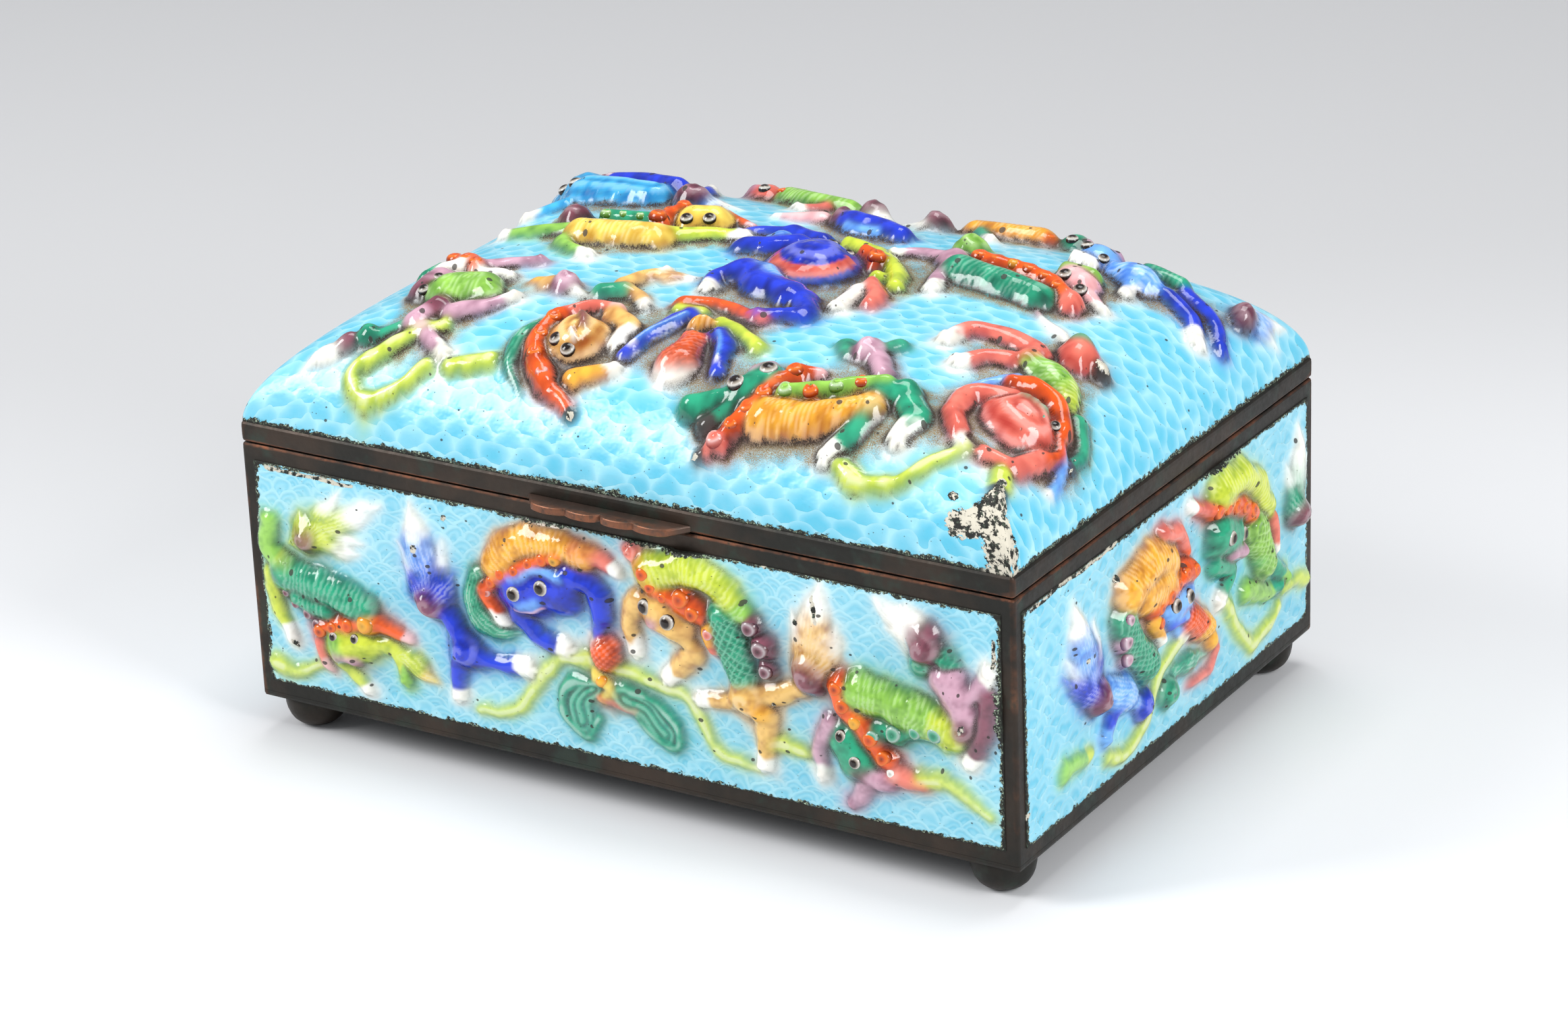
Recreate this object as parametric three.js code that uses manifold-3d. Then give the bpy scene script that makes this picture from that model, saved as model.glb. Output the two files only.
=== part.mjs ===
// A copper box with a hinged, domed lid. Its four sides and its lid are covered by enamelled
// plates, whose copper is beaten up from behind into lion-dogs that play with brocade balls.
// Millimetres, +Z up. The front looks towards -Y and the hinge runs along the back.
// The origin is on the table, under the middle of the box.

import * as THREE from 'three';
import { mergeVertices } from 'three/addons/utils/BufferGeometryUtils.js';
import Module from 'manifold-3d';

const wasm = await Module();
wasm.setup();

// The case
const LENGTH = 150;
const DEPTH = 106.3;
const BODY_HEIGHT = 47.4;
const WALL = 2;
const CORNER_RADIUS = 0.7;
const CORNER_STEPS = 2;
const BASE_THICKNESS = 1.2;

// The bun feet
const FOOT_HEIGHT = 6.2;
const FOOT_RADIUS = 5.6;
const FOOT_INSET = 6.6;
const FOOT_SIDES = 8;

// The enamelled side plates, set into shallow beds in the walls
const PLATE_BED = 0.8;
const PLATE_PROUD = 0.2;
const PLATE_SIDE_MARGIN = 2.4;
const PLATE_TOP_MARGIN = 2.8;
const PLATE_FOOT_MARGIN = 3.6;
const PLATE_CLEARANCE = 0.3;
const PLATE_RELIEF = 4.4;

// The lid
const SEAM = 0.3;
const RIM_HEIGHT = 3.5;
const RIM_WIDTH = 2;
const DOME_INSET = 0.4;
const DOME_HEIGHT = 21.7;
const DOME_RUN_ACROSS = 47;
const DOME_RUN_BACK = 39;
const DOME_CURVE = 1.78;
const HIP_CURVE = 3.4;
const LID_SHELL = 1.8;
const LID_RELIEF = 5.6;

// The thumb piece on the front of the lid
const THUMB_LENGTH = 31.5;
const THUMB_REACH = 4;
const THUMB_THICKNESS = 1.3;
const THUMB_SCALLOPS = 4;
const SCALLOP_DEPTH = 0.7;

// The hinge: knuckles by turns on the body and on the lid, round one pin
const KNUCKLES = 7;
const HINGE_END_GAP = 1.3;
const KNUCKLE_RADIUS = 1.05;
const KNUCKLE_BORE = 0.65;
const KNUCKLE_SIDES = 8;
const KNUCKLE_GAP = 0.3;
const PIN_RADIUS = 0.55;
const LEAF_THICKNESS = 0.5;
const LEAF_REACH = 2.2;
const LEAF_CLEARANCE = 0.25;

// The figures are drawn on sheets of these sizes, which are stretched over the real surfaces
const LID_SHEET = [150, 106.3];
const LONG_SHEET = [150, 47.4];
const SHORT_SHEET = [106.3, 47.4];

// How the figures are faceted: how deep their feet are sunk into what they stand on, and the grid
// of the dome
const SINK_IN_PLATE = 0.5;
const SINK_IN_DOME = 1.5;
const DOME_FACETS = [14, 12];
const HOLLOW_FACETS = [10, 8];
const EDGE_CROWDING = 1.9;

const BASE_TOP = FOOT_HEIGHT + BASE_THICKNESS;
const BODY_TOP = FOOT_HEIGHT + BODY_HEIGHT;
const RIM_FOOT = BODY_TOP + SEAM;
const RIM_TOP = RIM_FOOT + RIM_HEIGHT;
const HINGE_LENGTH = LENGTH - 2 * HINGE_END_GAP;
const HINGE_Y = DEPTH / 2 + KNUCKLE_RADIUS + LEAF_CLEARANCE;
const HINGE_Z = BODY_TOP + SEAM / 2;

const clamp = THREE.MathUtils.clamp;
const lerp = THREE.MathUtils.lerp;

// Joining and cutting

function toSolid(geometry) {
  const bare = geometry.clone();
  bare.deleteAttribute('normal');
  bare.deleteAttribute('uv');
  const merged = mergeVertices(bare, 1e-4);
  return new wasm.Manifold(new wasm.Mesh({
    numProp: 3,
    vertProperties: new Float32Array(merged.attributes.position.array),
    triVerts: new Uint32Array(merged.index.array),
  }));
}

function toGeometry(solid) {
  const mesh = solid.getMesh();
  const geometry = new THREE.BufferGeometry();
  geometry.setAttribute('position', new THREE.BufferAttribute(new Float32Array(mesh.vertProperties), 3));
  geometry.setIndex(new THREE.BufferAttribute(new Uint32Array(mesh.triVerts), 1));
  geometry.computeVertexNormals();
  return geometry;
}

function boxBetween(low, high) {
  const size = high.map((value, axis) => value - low[axis]);
  const middle = high.map((value, axis) => (value + low[axis]) / 2);
  return new THREE.BoxGeometry(...size).translate(...middle);
}

function roundedOutline(length, depth, radius, Outline = THREE.Shape) {
  const [x, y] = [length / 2, depth / 2];
  const outline = new Outline();
  outline.moveTo(-x + radius, -y);
  outline.lineTo(x - radius, -y);
  outline.absarc(x - radius, -y + radius, radius, -Math.PI / 2, 0);
  outline.lineTo(x, y - radius);
  outline.absarc(x - radius, y - radius, radius, 0, Math.PI / 2);
  outline.lineTo(-x + radius, y);
  outline.absarc(-x + radius, y - radius, radius, Math.PI / 2, Math.PI);
  outline.lineTo(-x, -y + radius);
  outline.absarc(-x + radius, -y + radius, radius, Math.PI, Math.PI * 1.5);
  return outline;
}

function extrudeUp(shape, foot, height) {
  const options = { depth: height, bevelEnabled: false, curveSegments: CORNER_STEPS };
  return new THREE.ExtrudeGeometry(shape, options).translate(0, 0, foot);
}

// Figures. Each is a list of limbs: a path on the sheet with a radius at each of its points, how
// high it stands as a share of its radius, and the section it is swept with.

const BALL_SIDES = 5;
const HEAD_SIDES = 7;

// Sections: across and up, as shares of the radius and of the height
const ROUND = [[-1, 0], [-0.6, 0.85], [0.6, 0.85], [1, 0]];
const RIDGE = [[-1, 0], [0, 1], [1, 0]];

const limb = (path, radii, lift = 1, section = ROUND) => ({ path, radii, lift, section });
const ball = (point, radius, lift = 1, sides = BALL_SIDES) => ({ path: [point], radii: [radius], lift, sides });

function taper(path, root, tip, lift, section) {
  const last = Math.max(path.length - 1, 1);
  return limb(path, path.map((_, step) => lerp(root, tip, step / last)), lift, section);
}

const trim = (part) => ({ ...part, isTrim: true });

// A lion-dog: size is the radius of its head, and everything else follows from it.
function lion({ size, head, body = [], girth = 0.85 * size, back = [], mane = [], legs = [], ears = [], tail, flame, petals = [] }) {
  const limbs = head.length > 1 ? [taper(head, size, size * 0.9, 1)] : [ball(head[0], size, 0.85, HEAD_SIDES)];
  if (body.length) limbs.push(taper(body, girth, girth * 0.85, 0.95));
  if (back.length) limbs.push(trim(taper(back, girth * 0.75, girth * 0.6, 1.3, RIDGE)));
  if (mane.length) limbs.push(trim(taper(mane, size * 0.45, size * 0.45, 1.5, RIDGE)));
  legs.forEach((path) => limbs.push(taper(path, size * 0.5, size * 0.4, 1.15, RIDGE)));
  ears.forEach((path) => limbs.push(trim(taper(path, size * 0.45, size * 0.25, 1.2, RIDGE))));
  if (tail) limbs.push(ball(tail, size * 0.7, 0.9));
  const tips = flame ? [flame, ...petals] : petals;
  tips.forEach((tip) => limbs.push(taper([tail, tip], size * 0.65, size * 0.15, 0.6, RIDGE)));
  return limbs;
}

const ribbon = (path, radius = 1.5) => trim(limb(path, path.map(() => radius), 0.9, RIDGE));

// The sides that face away are mirrored and plainer, without the manes, backs, ears and ribbons
const plainMirrored = (limbs) => limbs.filter((part) => !part.isTrim)
  .map((part) => ({ ...part, path: part.path.map(([u, v]) => [-u, v]) }));

// The long plates: four lion-dogs round a ball, u from the middle and v from the bottom of the body
const LONG_FIGURES = [
  ...lion({
    size: 3.7, girth: 3.4, head: [[-53.5, 15], [-51.5, 14.4]], body: [[-66, 26.2], [-58, 24.5], [-50.5, 22.5]],
    mane: [[-59, 17.4], [-52.1, 19.6], [-48.4, 20.6]],
    ears: [[[-47.6, 20.8], [-40.4, 20.1]], [[-60.1, 12.3], [-58.3, 9]]],
    legs: [[[-50, 14.8], [-43.8, 14.3], [-41.9, 9.3]], [[-56.3, 11.1], [-51.7, 6.5]],
      [[-69.7, 33.3], [-69.3, 28], [-65.5, 26.4]], [[-69.5, 23.1], [-69.1, 17.6], [-66.5, 13.4]]],
    tail: [-61.4, 32.9], flame: [-48.7, 40],
  }),
  ...lion({
    size: 5, girth: 3.1, head: [[-15.5, 31.8], [-9, 33.3]], body: [[-26, 30.8], [-25.2, 24.8], [-19.2, 22.5]],
    back: [[-22.3, 34.8], [-17, 39.5], [-4.7, 41]],
    mane: [[-21.5, 33.1], [-14.1, 36.9], [-9.5, 38.3]],
    ears: [[[-4.1, 40], [1, 38.5]], [[-23.6, 29.4], [-21.2, 23.9]]],
    legs: [[[-7.2, 34.3], [-1.7, 31.5], [-3, 23.6]], [[-18.3, 26.8], [-12.8, 23.1], [-9.5, 22.2]],
      [[-31.3, 22.2], [-30.4, 17.6], [-33.1, 13], [-31.8, 8.8]], [[-29.4, 17.6], [-23, 15.7], [-16.5, 17.6]]],
    tail: [-35.7, 26.9], flame: [-39, 42.3], petals: [[-42.4, 32.4], [-31.3, 32.4]],
  }),
  ...lion({
    size: 4.3, girth: 3.3, head: [[8.2, 33.6], [12, 32.2]], body: [[23.4, 33.1], [24.5, 28.5], [25.7, 23.9]],
    back: [[11, 41.4], [17.5, 41.2], [24, 38.6]], mane: [[9, 39.8], [14.1, 36.7], [18.7, 35]],
    ears: [[[7, 41], [4.4, 42.3]], [[19.5, 31.7], [20.4, 27.1]]],
    legs: [[[4.8, 35.2], [3, 29.6], [4.1, 24.8]], [[13.2, 29.6], [15, 25.9], [10.4, 21.3]],
      [[25.2, 20.4], [21.5, 19.4], [16.9, 19]], [[28.9, 18.5], [28.9, 13], [28.4, 9.7]],
      [[27, 21.3], [31.7, 22.7], [35.8, 24.3]]],
    tail: [37.9, 27.8], flame: [39, 42.8],
  }),
  ...lion({
    size: 4.2, girth: 4, head: [[46.5, 17], [47.5, 13.5]], body: [[49.3, 25.3], [56.7, 24.4], [64.6, 23.9]],
    mane: [[44.7, 26.7], [47.9, 22], [53, 15.6]], ears: [[[52.8, 13.2], [57, 11.8]]],
    legs: [[[41.4, 18], [38.6, 13.9], [39.1, 10]], [[48.8, 10.2], [46.5, 6.5], [43.2, 5.4]],
      [[65, 30.5], [67.3, 27.8], [71, 33.5]], [[70, 29], [70, 24.1], [65.9, 16.5]]],
    tail: [60.1, 35.7], flame: [49.4, 41.4],
  }),
  ball([-0.4, 24], 3.4, 1.1),
  ball([-1.7, 17.6], 2.2),
  ball([2.6, 14.8], 2),
  ribbon([[-9.1, 19.4], [-14.6, 15.7], [-18.3, 9.3], [-25.7, 6.9]]),
  ribbon([[-4.4, 17.6], [-8.8, 13], [-6.3, 7.8], [-2.6, 11.1]]),
  ribbon([[3, 17.8], [9.4, 15.6], [12.6, 11.1]]),
  ribbon([[9.5, 19], [15.5, 17], [19, 11], [27, 8.3]]),
];

// The short plates: two lion-dogs, the tail of a third, and a ball
const SHORT_FIGURES = [
  ...lion({
    size: 5, girth: 4, head: [[-4.5, 28], [0.5, 27]], body: [[-20.7, 29], [-15, 24.2], [-10.7, 20.1]],
    back: [[-20.5, 34], [-13.2, 37.2], [-1.5, 33.5]],
    mane: [[-9.8, 29.2], [-2.3, 31.5], [2.4, 31.5]],
    ears: [[[-4.1, 41], [2.2, 36]], [[-9.1, 26.8], [-7, 22.2]]],
    legs: [[[-23.3, 19.7], [-16.6, 17.2], [-13.3, 12.7]], [[-26.6, 15.6], [-22.5, 13.9], [-25, 10.6]]],
    tail: [-28.6, 21.4], flame: [-35, 38.5], petals: [[-39.1, 28.1]],
  }),
  ...lion({
    size: 5, girth: 4, head: [[14.5, 33], [19.5, 31.8]], body: [[27, 30], [30, 26], [31, 21]],
    back: [[14.3, 41], [21.8, 41], [32.6, 31.4]],
    mane: [[11.8, 39], [21.4, 35.8], [25.6, 33.8]],
    ears: [[[10.1, 39.7], [5.1, 41]], [[35.1, 27.6], [36.3, 21.8]]],
    legs: [[[12.5, 27], [20.9, 23.5], [15, 19.7]], [[29.2, 22.2], [35, 19.7], [40.9, 14.7]],
      [[25, 18.1], [32.5, 14.7], [41.7, 13.9]]],
    tail: [44, 25], flame: [46.5, 40], petals: [[41.5, 33]],
  }),
  limb([[3.5, 21], [8, 17.5]], [3.6, 3], 1),
  ball([12, 14], 2.4),
  ball([-5, 10.6], 3.2, 0.6),
  ribbon([[-22.5, 7.2], [-16.6, 6.4], [-10.8, 10.6], [-6.6, 17.2], [0, 18.9]]),
  ribbon([[20, 18.9], [23.4, 12.2], [29.2, 7.2], [37.5, 9.7]]),
];

// The lid: u to the right and v to the back from its middle. A great lion-dog crouches near the
// top, smaller ones run round it, and a ball lies on the front slope.
const LID_FIGURES = [
  ...lion({
    size: 8.4, girth: 4.6, head: [[8.5, 0.5]], body: [[1, 7], [-4, 5.5], [-8.5, 5]],
    back: [[9, 13], [15.5, 8.5], [24, -2]], ears: [[[22, -3], [25.5, -11.5]]],
    legs: [[[2, -5], [-2.5, -9], [-1.3, -16.4]], [[5, -9], [16, -15], [19.5, -20], [11, -22]],
      [[-7, 15], [-11.5, 13.5], [-13.6, 10.4]]],
  }),
  ...lion({
    size: 4.4, girth: 4.2, head: [[20.5, -40.5]], body: [[27, -44.5], [35, -43], [42, -39.5]],
    back: [[27, -41.5], [32.5, -40.5], [42, -35]],
    mane: [[21.5, -46.5], [24, -40], [26.5, -37]],
    ears: [[[19.6, -48], [15.7, -49.7]], [[27, -35], [29.5, -34]]],
    legs: [[[45, -35], [49.5, -39], [49, -43.5]], [[42, -40], [41.5, -44], [38.5, -48.5]],
      [[18, -41], [15.5, -44], [11.8, -45.7]]],
    tail: [34.5, -26.5],
  }),
  ...lion({
    size: 5.4, girth: 4.2, head: [[64, -30]], body: [[63, -17.5], [57, -15.5], [53, -14]],
    mane: [[59, -24], [65, -21], [68, -25]],
    ears: [[[57.5, -21], [53, -29]], [[69.5, -26.5], [72, -28]]],
    legs: [[[57, -27], [54, -35], [59, -40.5]], [[67.5, -27], [68.5, -33.5], [64, -39.5]],
      [[51, -10], [44, -10.5], [42.5, -18.5]], [[52, -17], [47.5, -23.5]]],
    tail: [61, -4.5], flame: [51, 3],
  }),
  ...lion({
    size: 5.6, girth: 3.8, head: [[-15, -38]], body: [[-16.5, -35], [-16.5, -28], [-16, -22.5]],
    back: [[-24, -37], [-24.5, -42], [-22, -46]], mane: [[-22, -32], [-19.5, -43], [-16, -45.5]],
    ears: [[[-14, -46], [-9.6, -48.6]]],
    legs: [[[-13, -29.5], [-7.4, -31.6]], [[-11.5, -44], [-5.3, -41]], [[-18, -20], [-18, -15], [-16.4, -10.4]],
      [[-16.5, -21.5], [-10, -23.5]]],
    tail: [-27.4, -22.6], flame: [-33, -22.5],
  }),
  ...lion({
    size: 3.8, girth: 4, head: [[-51, -29.5]], body: [[-46, -33], [-42.5, -30], [-37.5, -30]],
    mane: [[-54, -21], [-51.5, -21], [-48, -21]],
    legs: [[[-44.5, -34], [-43, -40], [-37, -43]], [[-40, -35], [-36.5, -33.5], [-33, -28.8]],
      [[-46, -18], [-38.8, -21.7]], [[-45, -15], [-38.7, -14.3]]],
    tail: [-56, -43], flame: [-62, -47],
  }),
  ...lion({
    size: 4.5, girth: 4, head: [[-22.5, 13]], body: [[-37.5, -1.5], [-31, 0], [-25, 1.5]],
    back: [[-38, 5], [-33, 7.5], [-28, 8.5]], ears: [[[-21, 17], [-16.5, 17]]],
    legs: [[[-41, 1], [-48, 0.5], [-56, 1]], [[-38, -4.5], [-33, -8.5]], [[-25, 5], [-17.5, 10]]],
    tail: [-45, 7],
  }),
  ...lion({
    size: 5.6, girth: 5, head: [[-56, 27]], body: [[-50, 23], [-43, 21], [-37, 21]],
    back: [[-52, 32], [-44, 30], [-38, 27]],
    legs: [[[-60, 25], [-65, 36]], [[-54, 18], [-60, 14]], [[-37, 24], [-35, 36]]],
    tail: [-30, 23],
  }),
  ...lion({ size: 3.6, head: [[-1, 25]], body: [[1, 24.5], [6, 24], [11, 22.5]], tail: [-3, 26], flame: [-10, 26.5] }),
  ...lion({
    size: 3.9, girth: 4, head: [[48.5, 18]], body: [[32, 7.5], [40, 8], [46.5, 8.5]],
    mane: [[32.5, 13.5], [41, 14], [50, 9.5]], ears: [[[50.5, 13], [54, 10]]],
    legs: [[[25.5, 15.5], [28, 8.5], [30.9, 0.6]], [[46, 22.5], [53, 22]]], tail: [26.5, 21], flame: [18.5, 17],
  }),
  ...lion({
    size: 4.2, girth: 4, head: [[46, 30.5]], body: [[51, 29], [57.5, 28], [62.5, 29.5]],
    legs: [[[63, 32], [69.7, 27]], [[62.5, 29.5], [68.2, 23.2]]],
    tail: [69, 38], flame: [71.5, 45],
  }),
  ...lion({
    size: 4.2, girth: 3.8, head: [[-27, 42]], body: [[-21, 40], [-14, 38], [-8, 39]],
    legs: [[[-22, 44], [-28, 48]], [[-10, 42], [-3, 47.5]]], tail: [-2, 36],
  }),
  ...lion({
    size: 4.2, girth: 3.8, head: [[36, 42]], body: [[30, 40], [23, 38.5], [17, 40]],
    legs: [[[31, 44], [38, 48]], [[19, 43], [12, 47.5]]], tail: [11, 35],
  }),
  limb([[5, -33.5], [5.6, -38.5]], [3.4, 3.8], 1),
  ball([3.4, -28], 2.6),
  ribbon([[-1, -25.5], [-3.2, -31], [-3.6, -37.5]], 1.8),
  ribbon([[8.5, -30], [12, -34], [11.8, -37.5]], 1.8),
  ribbon([[-42.5, -41], [-50.5, -45], [-53.5, -49], [-50, -50.5], [-44.5, -49.5], [-40, -46.5]]),
  ribbon([[42, -48.5], [49, -49.3], [55, -47.5], [59, -42]], 1.7),
];

// Surfaces. Each has a size, and gives the point and the outward direction at (u, v) on it.

function plateSurface(origin, along, out, length, low, high) {
  const [start, right, away] = [origin, along, out].map((xyz) => new THREE.Vector3(...xyz));
  return {
    low: [-length / 2, low],
    high: [length / 2, high],
    at: (u, v) => start.clone().addScaledVector(right, u).add(new THREE.Vector3(0, 0, v)),
    outward: () => away,
  };
}

const DOME_LENGTH = LENGTH - 2 * DOME_INSET;
const DOME_DEPTH = DEPTH - 2 * DOME_INSET;

// One slope of the dome: how far up it is, from 0 at the rim to 1 on top, at a share of its run
function slope(share) {
  return (1 - (1 - clamp(share, 0, 1)) ** DOME_CURVE) ** (1 / DOME_CURVE);
}

function domeHeight(u, v, length, depth, height) {
  const across = Math.max(slope((length / 2 - Math.abs(u)) / DOME_RUN_ACROSS), 1e-4);
  const back = Math.max(slope((depth / 2 - Math.abs(v)) / DOME_RUN_BACK), 1e-4);
  return height * ((across ** -HIP_CURVE + back ** -HIP_CURVE) / 2) ** (-1 / HIP_CURVE);
}

function domeSurface(length, depth, height) {
  const at = (u, v) => new THREE.Vector3(u, v, RIM_TOP + domeHeight(u, v, length, depth, height));
  return {
    low: [-length / 2, -depth / 2],
    high: [length / 2, depth / 2],
    at,
    outward: (u, v) => {
      const step = 0.5;
      const [du, dv] = [[step, 0], [0, step]].map(([a, b]) => at(u + a, v + b).sub(at(u - a, v - b)));
      const leaning = du.cross(dv).normalize();
      return leaning.add(new THREE.Vector3(0, 0, 1)).normalize();
    },
  };
}

// A closed body swept through rings of as many points each, with a point at either end
function ringBody(start, rings, end) {
  const sides = rings[0].length;
  const points = [start, ...rings.flat(), end];
  const faces = [];
  const corner = (ring, side) => 1 + ring * sides + side % sides;
  for (let side = 0; side < sides; side += 1) {
    faces.push(0, corner(0, side + 1), corner(0, side));
    faces.push(points.length - 1, corner(rings.length - 1, side), corner(rings.length - 1, side + 1));
    for (let ring = 1; ring < rings.length; ring += 1) {
      const [a, b] = [corner(ring - 1, side), corner(ring - 1, side + 1)];
      const [c, d] = [corner(ring, side + 1), corner(ring, side)];
      faces.push(a, b, c, a, c, d);
    }
  }
  return geometryOf(points, faces);
}

function geometryOf(points, faces) {
  const geometry = new THREE.BufferGeometry().setFromPoints(points);
  geometry.setIndex(faces);
  geometry.computeVertexNormals();
  return geometry;
}

// One limb on a surface, with its foot sunk below it
function limbSolid(surface, stretch, thickness, { path, radii, lift, section, sides }, sink) {
  const spots = path.map(([u, v]) => [u * stretch[0], v * stretch[1]]);
  const points = spots.map(([u, v]) => surface.at(u, v));
  const ups = spots.map(([u, v]) => surface.outward(u, v));
  if (sides) {
    const radius = radii[0] * thickness;
    const side = new THREE.Vector3(0, 0, 1).cross(ups[0]);
    if (side.lengthSq() < 0.01) side.set(1, 0, 0);
    side.normalize();
    const ahead = ups[0].clone().cross(side);
    const raised = (up) => points[0].clone().addScaledVector(ups[0], up);
    const ring = (reach, up) => [...Array(sides).keys()].map((i) => {
      const angle = 2 * Math.PI * i / sides;
      const [a, b] = [Math.cos(angle), Math.sin(angle)].map((share) => share * reach * radius);
      return raised(up).addScaledVector(side, a).addScaledVector(ahead, b);
    });
    const top = lift * radius;
    return toSolid(ringBody(raised(-sink), [ring(1, -sink / 2), ring(0.75, 0.7 * top)], raised(top)));
  }
  const last = points.length - 1;
  const heading = points.map((_, i) => points[Math.min(i + 1, last)].clone().sub(points[Math.max(i - 1, 0)]).normalize());
  const rings = points.map((point, i) => {
    const radius = radii[i] * thickness;
    const across = heading[i].clone().cross(ups[i]).normalize();
    return section.map(([a, b]) => point.clone()
      .addScaledVector(across, a * radius)
      .addScaledVector(ups[i], b > 0 ? b * lift * radius : -sink));
  });
  const tip = (i, way) => points[i].clone()
    .addScaledVector(heading[i], way * radii[i] * thickness)
    .addScaledVector(ups[i], 0.1 * radii[i] * thickness - sink / 2);
  return toSolid(ringBody(tip(0, -1), rings, tip(last, 1)));
}

function figuresOn(surface, limbs, sheet, sink) {
  const stretch = surface.sheetSize.map((size, axis) => size / sheet[axis]);
  const thickness = Math.min(...stretch);
  return limbs.map((part) => limbSolid(surface, stretch, thickness, part, sink))
    .reduce((whole, part) => whole.add(part));
}

// A flat plate with figures on it, cut off square at its edges
function raisedPlate(surface, figures, sheet, thickness) {
  const corners = [surface.at(surface.low[0], surface.low[1]), surface.at(surface.high[0], surface.high[1])];
  const block = (from, to) => {
    const box = new THREE.Box3();
    for (const corner of corners) {
      for (const depth of [from, to]) box.expandByPoint(corner.clone().addScaledVector(surface.outward(), depth));
    }
    return toSolid(boxBetween(box.min.toArray(), box.max.toArray()));
  };
  const raised = figuresOn(surface, figures, sheet, SINK_IN_PLATE);
  return toGeometry(raised.add(block(-thickness, 0)).intersect(block(-thickness, PLATE_RELIEF)));
}

// Grid lines lie closer together near the rim, where the dome is steep
function crowdedAtEdges(share) {
  const half = (2 * Math.min(share, 1 - share)) ** EDGE_CROWDING / 2;
  return share < 0.5 ? half : 1 - half;
}

// A dome that is closed by a flat underside
function closedDome(surface, [columns, rows], foot) {
  const points = [];
  const faces = [];
  for (let j = 0; j <= rows; j += 1) {
    for (let i = 0; i <= columns; i += 1) {
      const shares = [i / columns, j / rows].map(crowdedAtEdges);
      const [u, v] = shares.map((share, axis) => lerp(surface.low[axis], surface.high[axis], share));
      points.push(surface.at(u, v));
      if (i === columns || j === rows) continue;
      const a = j * (columns + 1) + i;
      const [b, c, d] = [a + 1, a + columns + 2, a + columns + 1];
      if (i < columns / 2 === j < rows / 2) faces.push(a, b, c, a, c, d);
      else faces.push(a, b, d, b, c, d);
    }
  }
  const index = (i, j) => j * (columns + 1) + i;
  const count = (length) => [...Array(length + 1).keys()];
  const rim = [
    ...count(columns - 1).map((i) => index(i, 0)),
    ...count(rows - 1).map((j) => index(columns, j)),
    ...count(columns - 1).map((i) => index(columns - i, rows)),
    ...count(rows - 1).map((j) => index(0, rows - j)),
  ];
  points.push(new THREE.Vector3(0, 0, foot));
  rim.forEach((corner, i) => faces.push(points.length - 1, rim[(i + 1) % rim.length], corner));
  return geometryOf(points, faces);
}

function lidDome() {
  const outer = { ...domeSurface(DOME_LENGTH, DOME_DEPTH, DOME_HEIGHT), sheetSize: [LENGTH, DEPTH] };
  const raised = figuresOn(outer, LID_FIGURES, LID_SHEET, SINK_IN_DOME);
  const [x, y] = [DOME_LENGTH / 2, DOME_DEPTH / 2];
  const bounds = boxBetween([-x, -y, RIM_TOP], [x, y, RIM_TOP + DOME_HEIGHT + LID_RELIEF]);
  const covered = raised.add(toSolid(closedDome(outer, DOME_FACETS, RIM_TOP))).intersect(toSolid(bounds));
  const [length, depth] = [LENGTH, DEPTH].map((size) => size - 2 * RIM_WIDTH);
  const inner = domeSurface(length, depth, DOME_HEIGHT - LID_SHELL);
  const plug = boxBetween([-length / 2, -depth / 2, RIM_TOP - 1], [length / 2, depth / 2, RIM_TOP]);
  return toGeometry(covered.subtract(toSolid(closedDome(inner, HOLLOW_FACETS, RIM_TOP)).add(toSolid(plug))));
}

// The case

function caseWalls() {
  const outline = roundedOutline(LENGTH, DEPTH, CORNER_RADIUS);
  outline.holes.push(roundedOutline(LENGTH - 2 * WALL, DEPTH - 2 * WALL, CORNER_RADIUS / 2, THREE.Path));
  const walls = toSolid(extrudeUp(outline, BASE_TOP, BODY_TOP - BASE_TOP));
  const [x, y] = [LENGTH / 2, DEPTH / 2];
  const [wide, deep] = [x, y].map((half) => half - PLATE_SIDE_MARGIN + PLATE_CLEARANCE);
  const low = FOOT_HEIGHT + PLATE_FOOT_MARGIN - PLATE_CLEARANCE;
  const high = BODY_TOP - PLATE_TOP_MARGIN + PLATE_CLEARANCE;
  const beds = [-1, 1].flatMap((side) => {
    const longBed = [side * (y - PLATE_BED), side * (y + 1)].sort((a, b) => a - b);
    const shortBed = [side * (x - PLATE_BED), side * (x + 1)].sort((a, b) => a - b);
    return [
      boxBetween([-wide, longBed[0], low], [wide, longBed[1], high]),
      boxBetween([shortBed[0], -deep, low], [shortBed[1], deep, high]),
    ];
  });
  return toGeometry(beds.reduce((solid, bed) => solid.subtract(toSolid(bed)), walls));
}

function basePlate() {
  const outline = roundedOutline(LENGTH, DEPTH, CORNER_RADIUS);
  return extrudeUp(outline, FOOT_HEIGHT, BASE_THICKNESS);
}

function lidRim() {
  const outline = roundedOutline(LENGTH, DEPTH, CORNER_RADIUS);
  outline.holes.push(roundedOutline(LENGTH - 2 * RIM_WIDTH, DEPTH - 2 * RIM_WIDTH, CORNER_RADIUS / 2, THREE.Path));
  return extrudeUp(outline, RIM_FOOT, RIM_HEIGHT);
}

function bunFoot() {
  const profile = [[0, 0], [0.45, 0], [0.78, 0.2], [0.96, 0.52], [1, 0.84], [0.95, 1], [0, 1]];
  const points = profile.map(([r, z]) => new THREE.Vector2(r * FOOT_RADIUS, z * FOOT_HEIGHT));
  return new THREE.LatheGeometry(points, FOOT_SIDES).rotateX(Math.PI / 2);
}

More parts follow.
